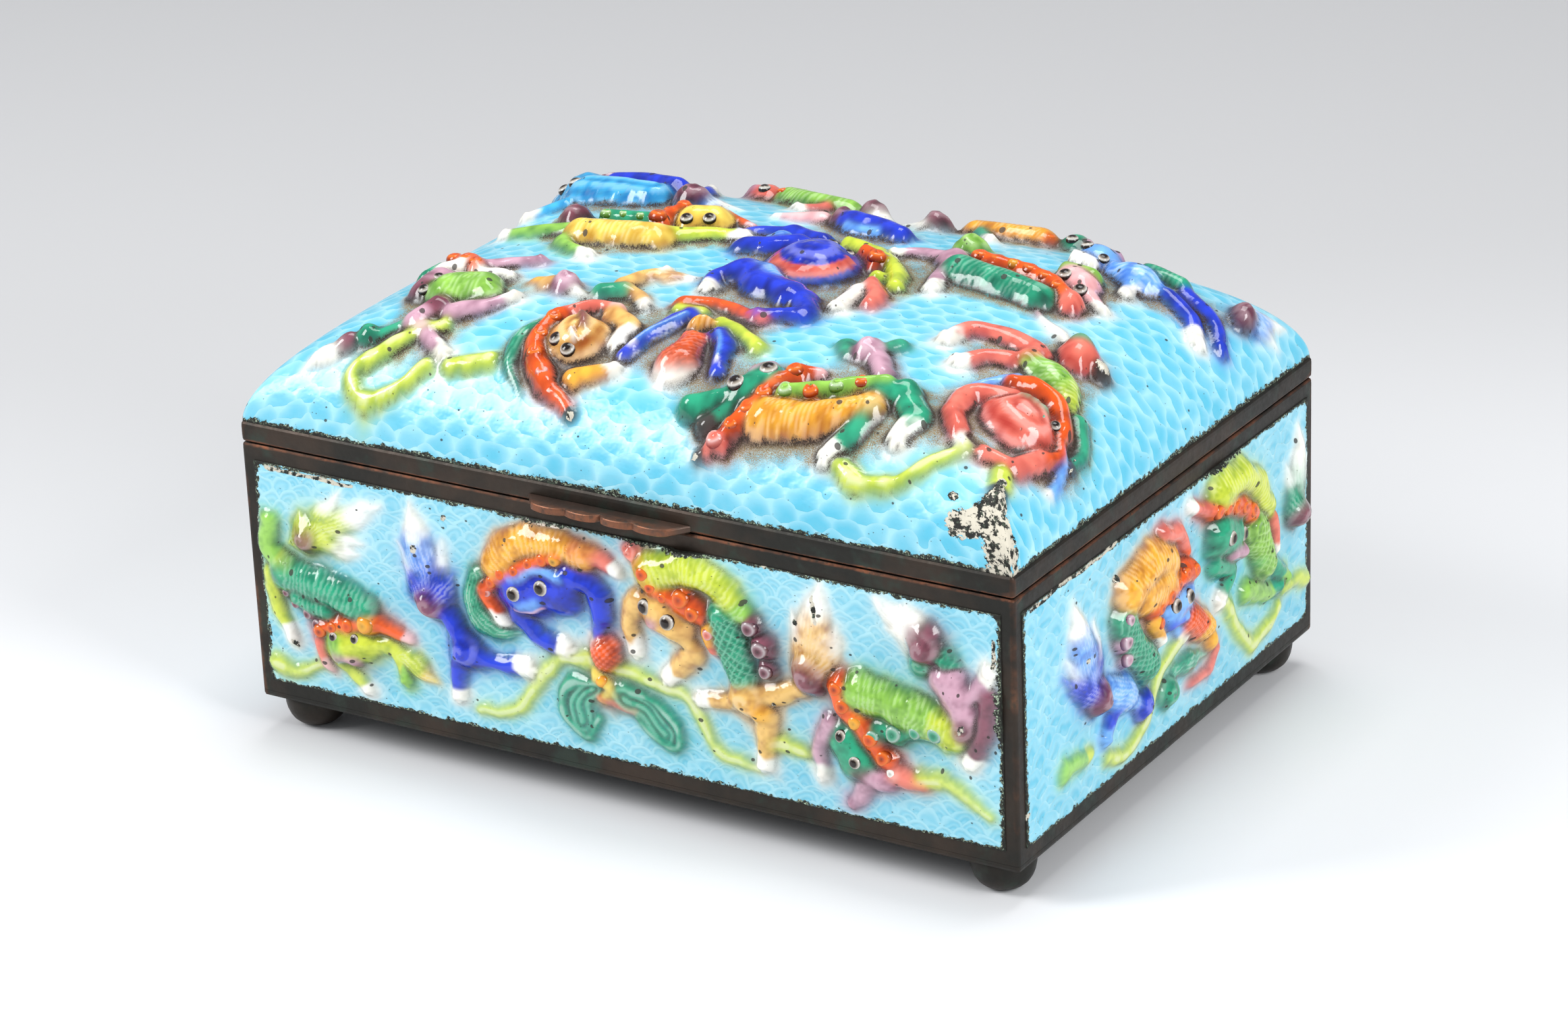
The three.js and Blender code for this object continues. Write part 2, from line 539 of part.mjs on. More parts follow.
// The thumb piece: a flat tongue with a scalloped front edge
function thumbPiece() {
  const outline = new THREE.Shape();
  const half = THUMB_LENGTH / 2;
  const bevel = THUMB_REACH * 0.6;
  outline.moveTo(half, 0);
  outline.lineTo(-half, 0);
  const lobe = (THUMB_LENGTH - 2 * bevel) / THUMB_SCALLOPS;
  const steps = 4;
  for (let i = 0; i <= THUMB_SCALLOPS * steps; i += 1) {
    const swell = Math.sin(Math.PI * (i % steps) / steps);
    outline.lineTo(-half + bevel + lobe * i / steps, -THUMB_REACH + SCALLOP_DEPTH * (1 - swell));
  }
  return extrudeUp(outline, RIM_FOOT, THUMB_THICKNESS).translate(0, -DEPTH / 2, 0);
}

function circlePoints(radius) {
  return [...Array(KNUCKLE_SIDES).keys()].map((side) => {
    const angle = 2 * Math.PI * side / KNUCKLE_SIDES;
    return new THREE.Vector2(radius * Math.cos(angle), radius * Math.sin(angle));
  });
}

// One knuckle of the hinge, with the leaf that carries it: up onto the lid, or down onto the body
function knuckle(from, to, side) {
  const ring = new THREE.Shape(circlePoints(KNUCKLE_RADIUS));
  ring.holes.push(new THREE.Path(circlePoints(KNUCKLE_BORE)));
  const options = { depth: to - from, bevelEnabled: false };
  const tube = new THREE.ExtrudeGeometry(ring, options).rotateY(Math.PI / 2).translate(from, HINGE_Y, HINGE_Z);
  const face = DEPTH / 2;
  const root = side > 0 ? RIM_FOOT : BODY_TOP;
  const [low, high] = [root, root + side * LEAF_REACH].sort((a, b) => a - b);
  const leaf = boxBetween([from, face, low], [to, face + LEAF_THICKNESS, high]);
  const arm = boxBetween(
    [from, face + LEAF_THICKNESS / 2, Math.min(root, root + side * 0.5)],
    [to, HINGE_Y - KNUCKLE_BORE - 0.1, Math.max(root, root + side * 0.5)],
  );
  return toGeometry(toSolid(tube).add(toSolid(leaf)).add(toSolid(arm)));
}

function hingePin() {
  const shape = new THREE.Shape(circlePoints(PIN_RADIUS));
  const options = { depth: HINGE_LENGTH, bevelEnabled: false };
  return new THREE.ExtrudeGeometry(shape, options).rotateY(Math.PI / 2).translate(-HINGE_LENGTH / 2, HINGE_Y, HINGE_Z);
}

// Putting it together

const copper = () => new THREE.MeshStandardMaterial({ color: 0x4a3a30, roughness: 0.5, metalness: 0.9 });
const brightCopper = () => new THREE.MeshStandardMaterial({ color: 0x8a5236, roughness: 0.4, metalness: 0.95 });
const enamel = () => new THREE.MeshStandardMaterial({ color: 0x7cc8e0, roughness: 0.15, metalness: 0 });

const box = new THREE.Group();

function addPiece(name, geometry, material) {
  const mesh = new THREE.Mesh(geometry, material);
  mesh.name = name;
  box.add(mesh);
  return mesh;
}

addPiece('case_walls', caseWalls(), copper());
addPiece('base_plate', basePlate(), copper());
addPiece('lid_rim', lidRim(), copper());
addPiece('lid_dome', lidDome(), enamel());
addPiece('thumb_piece', thumbPiece(), brightCopper());

for (const [name, x, y] of [['front_left', -1, -1], ['front_right', 1, -1], ['back_left', -1, 1], ['back_right', 1, 1]]) {
  const foot = addPiece(`${name}_foot`, bunFoot(), copper());
  foot.position.set(x * (LENGTH / 2 - FOOT_INSET), y * (DEPTH / 2 - FOOT_INSET), 0);
}

const plateLow = PLATE_FOOT_MARGIN;
const plateHigh = BODY_HEIGHT - PLATE_TOP_MARGIN;
const longLength = LENGTH - 2 * PLATE_SIDE_MARGIN;
const shortLength = DEPTH - 2 * PLATE_SIDE_MARGIN;
const faceAt = { long: DEPTH / 2 + PLATE_PROUD, short: LENGTH / 2 + PLATE_PROUD };

const plates = [
  ['front_plate', [0, -faceAt.long, FOOT_HEIGHT], [1, 0, 0], [0, -1, 0], longLength, LONG_FIGURES, LONG_SHEET],
  ['back_plate', [0, faceAt.long, FOOT_HEIGHT], [-1, 0, 0], [0, 1, 0], longLength, plainMirrored(LONG_FIGURES), LONG_SHEET],
  ['right_plate', [faceAt.short, 0, FOOT_HEIGHT], [0, 1, 0], [1, 0, 0], shortLength, SHORT_FIGURES, SHORT_SHEET],
  ['left_plate', [-faceAt.short, 0, FOOT_HEIGHT], [0, -1, 0], [-1, 0, 0], shortLength, plainMirrored(SHORT_FIGURES), SHORT_SHEET],
];
for (const [name, origin, along, out, length, figures, sheet] of plates) {
  const surface = plateSurface(origin, along, out, length, plateLow, plateHigh);
  surface.sheetSize = [length + 2 * PLATE_SIDE_MARGIN, BODY_HEIGHT];
  addPiece(name, raisedPlate(surface, figures, sheet, PLATE_BED + PLATE_PROUD), enamel());
}

const knuckleLength = HINGE_LENGTH / KNUCKLES;
for (let i = 0; i < KNUCKLES; i += 1) {
  const from = -HINGE_LENGTH / 2 + i * knuckleLength + KNUCKLE_GAP / 2;
  const onLid = i % 2 === 1;
  const name = onLid ? `lid_knuckle_${(i + 1) / 2}` : `body_knuckle_${i / 2 + 1}`;
  addPiece(name, knuckle(from, from + knuckleLength - KNUCKLE_GAP, onLid ? 1 : -1), brightCopper());
}
addPiece('hinge_pin', hingePin(), brightCopper());

export default box;
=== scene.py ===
"""Looks of an enamelled copper box with a domed lid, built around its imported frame.

Pieces are in the frame's metres. The figures are drawn in millimetres on flat sheets, one for each
enamelled plate and one for the lid, and are raised from there on the real surfaces.
"""

import logging
import math
from dataclasses import dataclass
from enum import Enum

import bmesh
import bpy
import numpy as np
from mathutils import Matrix, Vector

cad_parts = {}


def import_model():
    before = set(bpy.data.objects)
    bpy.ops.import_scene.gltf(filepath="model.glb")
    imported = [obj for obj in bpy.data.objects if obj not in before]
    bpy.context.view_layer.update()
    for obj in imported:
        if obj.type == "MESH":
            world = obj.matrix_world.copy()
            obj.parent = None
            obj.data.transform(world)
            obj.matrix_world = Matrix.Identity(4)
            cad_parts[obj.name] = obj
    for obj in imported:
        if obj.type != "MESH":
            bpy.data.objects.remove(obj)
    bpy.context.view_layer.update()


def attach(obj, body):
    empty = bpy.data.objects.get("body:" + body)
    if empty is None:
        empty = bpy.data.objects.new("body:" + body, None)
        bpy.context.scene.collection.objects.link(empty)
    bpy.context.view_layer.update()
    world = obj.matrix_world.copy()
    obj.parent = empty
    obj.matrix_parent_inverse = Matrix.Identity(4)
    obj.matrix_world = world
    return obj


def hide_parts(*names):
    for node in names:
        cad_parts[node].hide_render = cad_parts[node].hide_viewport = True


LOG = logging.getLogger("enamel_box")
MM = 0.001
Spot = tuple[float, float]
Corner = tuple[float, float, float]
Shade = tuple[int, int, int]
Grid = np.ndarray
Socket = bpy.types.NodeSocket
Material = bpy.types.Material
Piece = bpy.types.Object


class Tint(Enum):
    """Enamel colours in sRGB, each as its deep and its bright shade; a limb runs from deep at its foot to
    bright on its crest, partly the enamel's own paler crests and partly painted shade and highlight.
    """

    COBALT = ((4, 4, 74), (34, 60, 208))
    SKY = ((30, 86, 190), (122, 182, 242))
    SEA = ((14, 108, 170), (70, 176, 222))
    JADE = ((0, 56, 44), (42, 162, 122))
    LEAF = ((34, 96, 20), (150, 202, 84))
    LIME = ((104, 140, 14), (206, 218, 66))
    AMBER = ((140, 50, 2), (244, 178, 54))
    OCHRE = ((150, 74, 10), (238, 192, 108))
    SUN = ((176, 122, 8), (244, 214, 96))
    RED = ((98, 6, 3), (238, 92, 22))
    CORAL = ((164, 38, 30), (232, 122, 104))
    PINK = ((196, 112, 118), (240, 190, 190))
    PLUM = ((36, 8, 20), (132, 72, 88))
    MAUVE = ((112, 58, 82), (204, 160, 178))
    WHITE = ((208, 198, 182), (252, 249, 240))
    SOOT = ((18, 15, 13), (66, 60, 55))


class Grain(Enum):
    """How the surface of a limb is worked."""

    SMOOTH = 0
    RIBS = 1
    STREAKS = 2
    SCALES = 3
    NUBS = 4
    RINGS = 5
    COIL = 6
    BANDS = 7
    STRIPE = 8


class BeadKind(Enum):
    """What a small bead is."""

    EYE = 0
    CURL = 1
    PEARL = 2


COBALT, SKY, SEA, JADE, LEAF, LIME, AMBER, OCHRE, SUN, RED, CORAL, PINK, PLUM, MAUVE, WHITE, SOOT = Tint
SMOOTH, RIBS, STREAKS, SCALES, NUBS, RINGS, COIL, BANDS, STRIPE = Grain


def linear(shade: Shade) -> Grid:
    """Turns an sRGB shade into linear light.

    Args:
        shade: Red, green and blue from 0 to 255.

    Returns:
        The three linear values.
    """
    share = np.asarray(shade, dtype=float) / 255
    return np.where(share <= 0.04045, share / 12.92, ((share + 0.055) / 1.055) ** 2.4)


@dataclass(frozen=True)
class Limb:
    """A swelling of the copper along a path on the sheet, in one enamel colour.

    Attributes:
        path: Its points on the sheet.
        root: Radius at the first point.
        tip: Radius at the last point.
        tint: Its colour.
        lift: How high it stands, as a share of its radius.
        end: The colour that it turns to at its tip.
        grain: How its surface is worked.
    """

    path: tuple[Spot, ...]
    root: float
    tip: float
    tint: Tint
    lift: float
    end: Tint
    grain: Grain


@dataclass(frozen=True)
class Bead:
    """A small bead that sits on a figure."""

    spot: Spot
    radius: float
    kind: BeadKind
    tint: Tint


class Figure:
    """The limbs and beads of one figure, drawn on a sheet."""

    def __init__(self) -> None:
        """Starts an empty figure."""
        self.limbs: list[Limb] = []
        self.beads: list[Bead] = []

    def limb(self, tint: Tint, root: float, *path: Spot, tip: float = 0.0, lift: float = 1.0,
             end: Tint | None = None, grain: Grain = SMOOTH) -> "Figure":
        """Adds one limb along a path.

        Args:
            tint: Its colour.
            root: Its radius at the first point.
            path: Its points.
            tip: Its radius at the last point, or 0 for the same as at the first.
            lift: Its height as a share of its radius.
            end: The colour at its tip, if it changes.
            grain: How its surface is worked.

        Returns:
            This figure.
        """
        self.limbs.append(Limb(path, root, tip or root, tint, lift, end or tint, grain))
        return self

    def leg(self, tint: Tint, girth: float, *path: Spot, paw: Tint = WHITE) -> "Figure":
        """Adds a leg that ends in a paw with three toes.

        Args:
            tint: The leg's colour.
            girth: Its radius at the top.
            path: Its points.
            paw: The paw's colour.

        Returns:
            This figure.
        """
        self.limb(tint, girth * 0.94, *path, tip=girth * 0.72, lift=0.98, end=paw)
        (x0, y0), (x1, y1) = path[-2:]
        heading = math.atan2(y1 - y0, x1 - x0)
        for turn in (-0.75, 0, 0.75):
            near, far = girth * 0.3, girth * (0.52 if turn else 0.64)
            start, toe = ((x1 + reach * math.cos(heading + turn), y1 + reach * math.sin(heading + turn))
                          for reach in (near, far))
            self.limb(paw, girth * 0.32, start, toe, tip=girth * 0.26, lift=1.8)
        return self

    def curls(self, tint: Tint, radius: float, *spots: Spot) -> "Figure":
        """Adds a row of curls, each a bead on a mound of its own colour.

        Args:
            tint: Their colour.
            radius: Their radius.
            spots: Where they are.

        Returns:
            This figure.
        """
        for spot in spots:
            size = radius * (1 + 0.14 * math.sin(12.9 * spot[0] + 7.8 * spot[1]))
            self.limb(tint, size * 1.25, spot, lift=1.3)
            self.beads.append(Bead(spot, size * 0.84, BeadKind.CURL, tint))
        return self

    def eyes(self, radius: float, *spots: Spot) -> "Figure":
        """Adds round eyes of one radius at some spots."""
        for spot in spots:
            self.beads.append(Bead(spot, radius * 0.84, BeadKind.EYE, WHITE))
        return self

    def pearls(self, tint: Tint, radius: float, *spots: Spot) -> "Figure":
        """Adds smooth beads of one colour and radius at some spots."""
        for spot in spots:
            self.beads.append(Bead(spot, radius, BeadKind.PEARL, tint))
        return self

    def tail(self, root: Spot, radius: float, flame: Spot, ball: Tint = PLUM, petal: Tint = WHITE,
             petals: tuple[Spot, ...] = ()) -> "Figure":
        """Adds a tail: a ball, a streaked flame that runs out to a point, and petals round the ball.

        Args:
            root: Where the ball is.
            radius: The ball's radius.
            flame: Where the flame ends.
            ball: The ball's colour.
            petal: The petals' colour, which the flame has at its root too.
            petals: Where the petals end.

        Returns:
            This figure.
        """
        reach, heading = math.dist(root, flame), math.atan2(flame[1] - root[1], flame[0] - root[0])
        for turn, length, width in ((0.42, 0.66, 0.78), (-0.42, 0.66, 0.78), (0.0, 1.0, 1.0)):
            run, way = length * reach, heading + turn
            end = (root[0] + run * math.cos(way), root[1] + run * math.sin(way))
            middle = ((root[0] + end[0]) / 2, (root[1] + end[1]) / 2)
            self.limb(petal, radius * width, root, middle, end, tip=0.3, lift=0.55, end=WHITE, grain=STREAKS)
        for spot in petals:
            self.limb(petal, radius * 1.0, root, spot, tip=radius * 0.75, lift=0.8, grain=STREAKS)
        return self.limb(ball, radius * 1.22, root, lift=1.2, grain=COIL)

    def mirrored(self) -> "Figure":
        """Returns this figure turned left to right."""
        other = Figure()
        other.limbs = [Limb(tuple((-u, v) for u, v in limb.path), limb.root, limb.tip, limb.tint, limb.lift,
                            limb.end, limb.grain) for limb in self.limbs]
        other.beads = [Bead((-bead.spot[0], bead.spot[1]), bead.radius, bead.kind, bead.tint)
                       for bead in self.beads]
        return other


class LongPlateFigures:
    """The figures on a long side: four lion-dogs round a brocade ball, with ribbons."""

    def all(self) -> list[Figure]:
        """Returns every figure, u from the middle and v from the bottom of the body."""
        return [self.left_lion(), self.blue_lion(), self.ball(), self.ochre_lion(), self.right_lion()]

    def left_lion(self) -> Figure:
        """Returns the jade-bodied lion-dog with a lime head at the left end."""
        lion = Figure()
        lion.limb(LIME, 1.9, (-70.5, 7.2), (-66, 6.6), (-60.5, 9), tip=1.0, lift=0.7, grain=STRIPE)
        lion.limb(LEAF, 2.0, (-69.7, 34.5), (-70, 29), (-66, 26.5), tip=2.4, end=LIME)
        lion.limb(LIME, 3.0, (-61.6, 33.4), (-57.5, 32.2), tip=2.4, lift=0.7)
        lion.tail((-61.6, 32.9), 2.6, (-46.5, 41), petal=LIME, petals=((-62.8, 37.2), (-65.8, 30.5)))
        lion.limb(WHITE, 1.5, (-57, 31.2), (-51.5, 31.6), tip=0.4, lift=0.6, grain=STREAKS)
        lion.leg(LIME, 2.3, (-69.8, 24.5), (-69.6, 18.5), (-66.6, 13.6))
        lion.limb(JADE, 3.9, (-66.5, 25.2), (-59, 24), (-50.5, 21.4), tip=3.2, lift=0.95, grain=RIBS)
        lion.limb(JADE, 2.4, (-64.2, 21.2), (-58.5, 19.8), lift=1.25, grain=RIBS)
        lion.curls(PLUM, 1.2, (-66.8, 21.6), (-64.5, 20.1), (-62.3, 18.6), (-60.4, 17.2))
        lion.leg(LIME, 2.4, (-50.4, 15), (-44.6, 15), (-43, 10.4), paw=LEAF)
        lion.limb(LIME, 2.0, (-42.5, 14), (-36.5, 10.8), tip=1.5, end=SUN, grain=STREAKS)
        lion.leg(LIME, 1.9, (-55.8, 11), (-51.6, 6.8))
        lion.limb(LEAF, 4.3, (-55.2, 14.2), (-51.8, 15), tip=3.8, lift=0.9, end=LIME)
        lion.limb(MAUVE, 2.0, (-55.4, 12.6), (-52.6, 12.2), lift=1.9)
        lion.limb(CORAL, 1.9, (-59.8, 13.6), (-59.2, 9.6), tip=1.4, lift=1.2, end=PINK)
        lion.limb(RED, 2.2, (-59.8, 16.4), (-54.5, 18), (-48.6, 19.4), lift=1.2)
        lion.curls(RED, 1.5, (-59.4, 16.2), (-56.8, 17.4), (-53.4, 18.4))
        lion.curls(AMBER, 1.9, (-49.6, 19.4))
        lion.limb(RED, 2.2, (-47.6, 19.6), (-41.6, 17.4), tip=1.2, lift=1.1, end=PINK)
        return lion.eyes(1.15, (-56.4, 15.9), (-52, 16.3))

    def blue_lion(self) -> Figure:
        """Returns the cobalt lion-dog with an amber back."""
        lion = Figure()
        lion.limb(AMBER, 4.0, (-22.4, 35), (-17.6, 39.6), (-11, 40.8), (-4.6, 40.2), tip=3.0, lift=0.95,
                  grain=RIBS)
        lion.limb(JADE, 3.2, (-26.4, 32), (-26.6, 26.6), (-22.4, 22.8), (-18.4, 23.4), tip=2.2, grain=STREAKS)
        lion.tail((-35.9, 25.8), 3.0, (-39.5, 43), petal=COBALT, petals=((-42, 31.4), (-31.8, 31.6)))
        lion.limb(SKY, 3.4, (-37.6, 30.6), (-38.6, 35.5), (-39.4, 42.6), tip=0.5, lift=0.55, end=WHITE,
                  grain=STREAKS)
        lion.limb(COBALT, 2.6, (-33.2, 24.4), (-30.2, 20.4), tip=3.0)
        lion.leg(COBALT, 2.6, (-30.8, 18), (-31.6, 13.6), (-31.6, 9.8))
        lion.leg(COBALT, 2.5, (-29.5, 17.6), (-23.4, 17), (-17.4, 17.4))
        lion.limb(COBALT, 4.0, (-29.8, 18.4), lift=0.95, grain=COIL)
        lion.leg(COBALT, 2.7, (-18.6, 27), (-14, 23.8), (-9.4, 23.2))
        lion.limb(COBALT, 3.1, (-7, 36.2), (-2.6, 34.4), (-1.8, 30), tip=2.4, lift=1.1)
        lion.leg(COBALT, 2.1, (-1.8, 30), (-2.8, 25.4))
        lion.limb(COBALT, 5.4, (-17.8, 31.6), (-9.6, 33.6), tip=4.8, lift=0.78)
        lion.limb(SKY, 1.5, (-18.6, 34), (-13.6, 36.2), (-8.4, 36), lift=2.3)
        lion.limb(SKY, 2.1, (-16.4, 30), (-13.4, 30.6), lift=1.9)
        lion.limb(PINK, 0.5, (-17.8, 28.8), (-14.6, 28.8), (-12, 29.8), lift=6.4)
        lion.limb(RED, 2.0, (-23, 32), (-18.6, 35.2), (-13.6, 37.6), (-9.2, 39.2), lift=1.6)
        lion.curls(RED, 1.35, (-22.6, 32.6), (-20.4, 34.6), (-17.6, 35.6), (-14.8, 37.4), (-12, 38.6))
        lion.curls(AMBER, 1.6, (-9.6, 38.9))
        lion.limb(CORAL, 2.2, (-6, 41), (-1.8, 40), (1.2, 38.6), tip=1.3, lift=1.2, end=WHITE)
        lion.limb(RED, 2.2, (-24.2, 30.6), (-21.8, 25.6), tip=1.9, lift=1.5, end=WHITE)
        lion.curls(CORAL, 1.3, (-23.8, 30.4))
        return lion.eyes(1.75, (-17.6, 31.8), (-12.2, 33.8))

    def ball(self) -> Figure:
        """Returns the brocade ball in the middle, with its knot, loops and ribbons."""
        ball = Figure()
        ball.limb(LIME, 1.9, (-4.4, 21.6), (-11.4, 20.4), (-16, 14.6), (-20, 9.2), (-27.4, 7), tip=0.9,
                  lift=0.7, grain=STRIPE)
        ball.limb(LIME, 1.7, (1, 21), (8.6, 20), (14.4, 18.2), (17.4, 13), (20.6, 9.2), (27.6, 8.4), tip=0.9,
                  lift=0.7, grain=STRIPE)
        for leaf in (((-4.2, 16.4), (-7.2, 13.2), (-7, 9.6)), ((1.6, 16.2), (6, 14.4), (9.6, 10.6))):
            ball.limb(JADE, 3.5, *leaf, tip=2.7, lift=0.42, grain=RINGS)
        for loop in (((-3.6, 18), (-9.6, 16), (-10.4, 10.6), (-6.6, 7), (-3.8, 11)),
                     ((1, 17.6), (7.2, 16.8), (12, 12.6), (12, 8.8), (7.6, 9.8), (4, 13))):
            ball.limb(JADE, 1.3, *loop, tip=1.0, lift=1.15, grain=STRIPE)
        ball.limb(CORAL, 1.3, (-2.6, 14.8), (3.6, 14), tip=0.9, lift=1.1)
        ball.limb(SUN, 1.9, (-3.2, 19.6), (-0.6, 17), (-2.2, 14.8), tip=1.3, lift=1.2, end=AMBER)
        ball.limb(RED, 3.7, (-1.4, 23.6), lift=1.05, grain=NUBS)
        return ball.pearls(AMBER, 1.3, (-2.2, 18.4))

    def ochre_lion(self) -> Figure:
        """Returns the ochre lion-dog with a lime back and a scaled jade body."""
        lion = Figure()
        lion.limb(LIME, 3.9, (8.6, 40), (14.4, 41.4), (21, 40), (25.4, 35.8), tip=2.8, lift=0.95, end=LEAF,
                  grain=RIBS)
        lion.limb(JADE, 3.7, (22.2, 34.6), (23.8, 29.4), (25.6, 24.4), tip=3.3, grain=SCALES)
        lion.tail((38.2, 27.8), 3.3, (39.8, 44), petal=OCHRE, petals=((35.8, 32), (41.6, 31.6)))
        lion.limb(OCHRE, 3.3, (38.8, 31), (39.2, 35), (39.8, 43.6), tip=0.5, lift=0.55, end=WHITE,
                  grain=STREAKS)
        lion.limb(OCHRE, 2.2, (28, 21.6), (32.4, 23.2), (36.4, 25), tip=1.9)
        lion.leg(OCHRE, 2.3, (25, 20), (20.6, 19.4), (17.2, 19))
        lion.leg(OCHRE, 2.7, (29.2, 18.8), (29.4, 13.8), (29, 10.2))
        lion.limb(OCHRE, 4.3, (26.2, 21), lift=0.9, grain=COIL)
        lion.limb(AMBER, 2.6, (28.6, 19.4), lift=1.4)
        lion.leg(OCHRE, 2.6, (5.6, 34.4), (3.8, 29.8), (4.4, 25.6))
        lion.leg(OCHRE, 2.5, (13.4, 30), (15.6, 27), (11.2, 22))
        lion.limb(OCHRE, 4.6, (9.6, 33.6), (12.6, 32.4), lift=0.85)
        lion.limb(MAUVE, 2.5, (9.2, 31.2), (11.8, 30.6), lift=1.45, end=OCHRE)
        lion.limb(RED, 2.3, (7.6, 40.6), (9, 37.6), (13, 36.6), (18, 34.4), lift=1.4)
        lion.curls(RED, 1.5, (8, 40.2), (9.2, 37.9), (11.4, 36.5))
        lion.curls(RED, 1.9, (14.8, 36.9), (17, 34.7))
        lion.limb(CORAL, 1.9, (7.2, 40.8), (4.4, 42.6), lift=1.1, grain=COIL)
        lion.limb(AMBER, 2.3, (19.8, 31.8), (20.6, 28.6), tip=1.8, lift=1.4, end=CORAL)
        lion.curls(CORAL, 1.5, (19.8, 31.6))
        lion.curls(PLUM, 1.8, (27.4, 34), (29.3, 30.6), (30, 26.8))
        lion.limb(LIME, 1.8, (30.6, 14), (36.4, 13.6), lift=0.6, grain=STRIPE)
        return lion.eyes(1.75, (7.8, 34.2), (12.4, 32.6))

    def right_lion(self) -> Figure:
        """Returns the lime-bodied lion-dog with a jade head at the right end."""
        lion = Figure()
        lion.limb(LIME, 1.9, (57.6, 13.4), (63, 13.4), (70.4, 9.4), tip=0.8, lift=0.7, grain=STRIPE)
        lion.limb(LEAF, 4.5, (47.8, 26.4), (55.6, 25.6), (63.6, 23), tip=3.9, lift=0.88, end=LIME, grain=RIBS)
        lion.limb(JADE, 1.9, (50.4, 20.6), (60.4, 22.4), lift=1.3)
        lion.curls(JADE, 1.75, (50.2, 20), (54, 21.2), (58, 22.2), (61.8, 22.8))
        lion.tail((59.6, 37), 3.1, (49.8, 43), petal=WHITE)
        lion.limb(JADE, 2.5, (58.6, 33.8), grain=COIL)
        lion.limb(JADE, 2.4, (63.4, 36), (62.6, 33.4), grain=STREAKS)
        lion.limb(PLUM, 2.4, (60.6, 39.4), (57.6, 38.6), lift=1.1)
        lion.leg(MAUVE, 2.4, (65, 30), (68, 30.6), (70.4, 34.4))
        lion.limb(MAUVE, 3.3, (63, 31.6), (66.2, 26.4), lift=0.95)
        lion.leg(PLUM, 2.3, (70.2, 30.4), (70, 24.4), (66.8, 18.6))
        lion.limb(PLUM, 3.0, (66, 24.4), lift=1.05, grain=COIL)
        lion.leg(MAUVE, 2.2, (41.6, 20), (39.4, 15), (39.4, 10.8))
        lion.leg(MAUVE, 2.0, (48.6, 10.6), (45.2, 6.8), paw=MAUVE)
        lion.limb(JADE, 4.4, (45.2, 17.4), (46.8, 14.6), lift=0.9)
        lion.limb(PLUM, 2.9, (47.4, 13.2), (51.2, 12.4), lift=1.2, end=MAUVE)
        lion.limb(RED, 2.5, (43.6, 27.2), (45, 23.6), (48, 21), (51.4, 16.4), lift=1.3)
        lion.curls(RED, 1.6, (43.6, 27), (44.9, 24.2))
        lion.curls(AMBER, 1.6, (47, 21.7))
        lion.curls(RED, 1.6, (49.8, 19.4), (52, 16.6))
        lion.limb(CORAL, 2.5, (53.2, 14), (57.6, 12.2), tip=1.5, lift=1.1, end=CORAL)
        lion.curls(WHITE, 1.3, (53.2, 14))
        return lion.eyes(1.4, (44.4, 18.9), (47.2, 15.1))


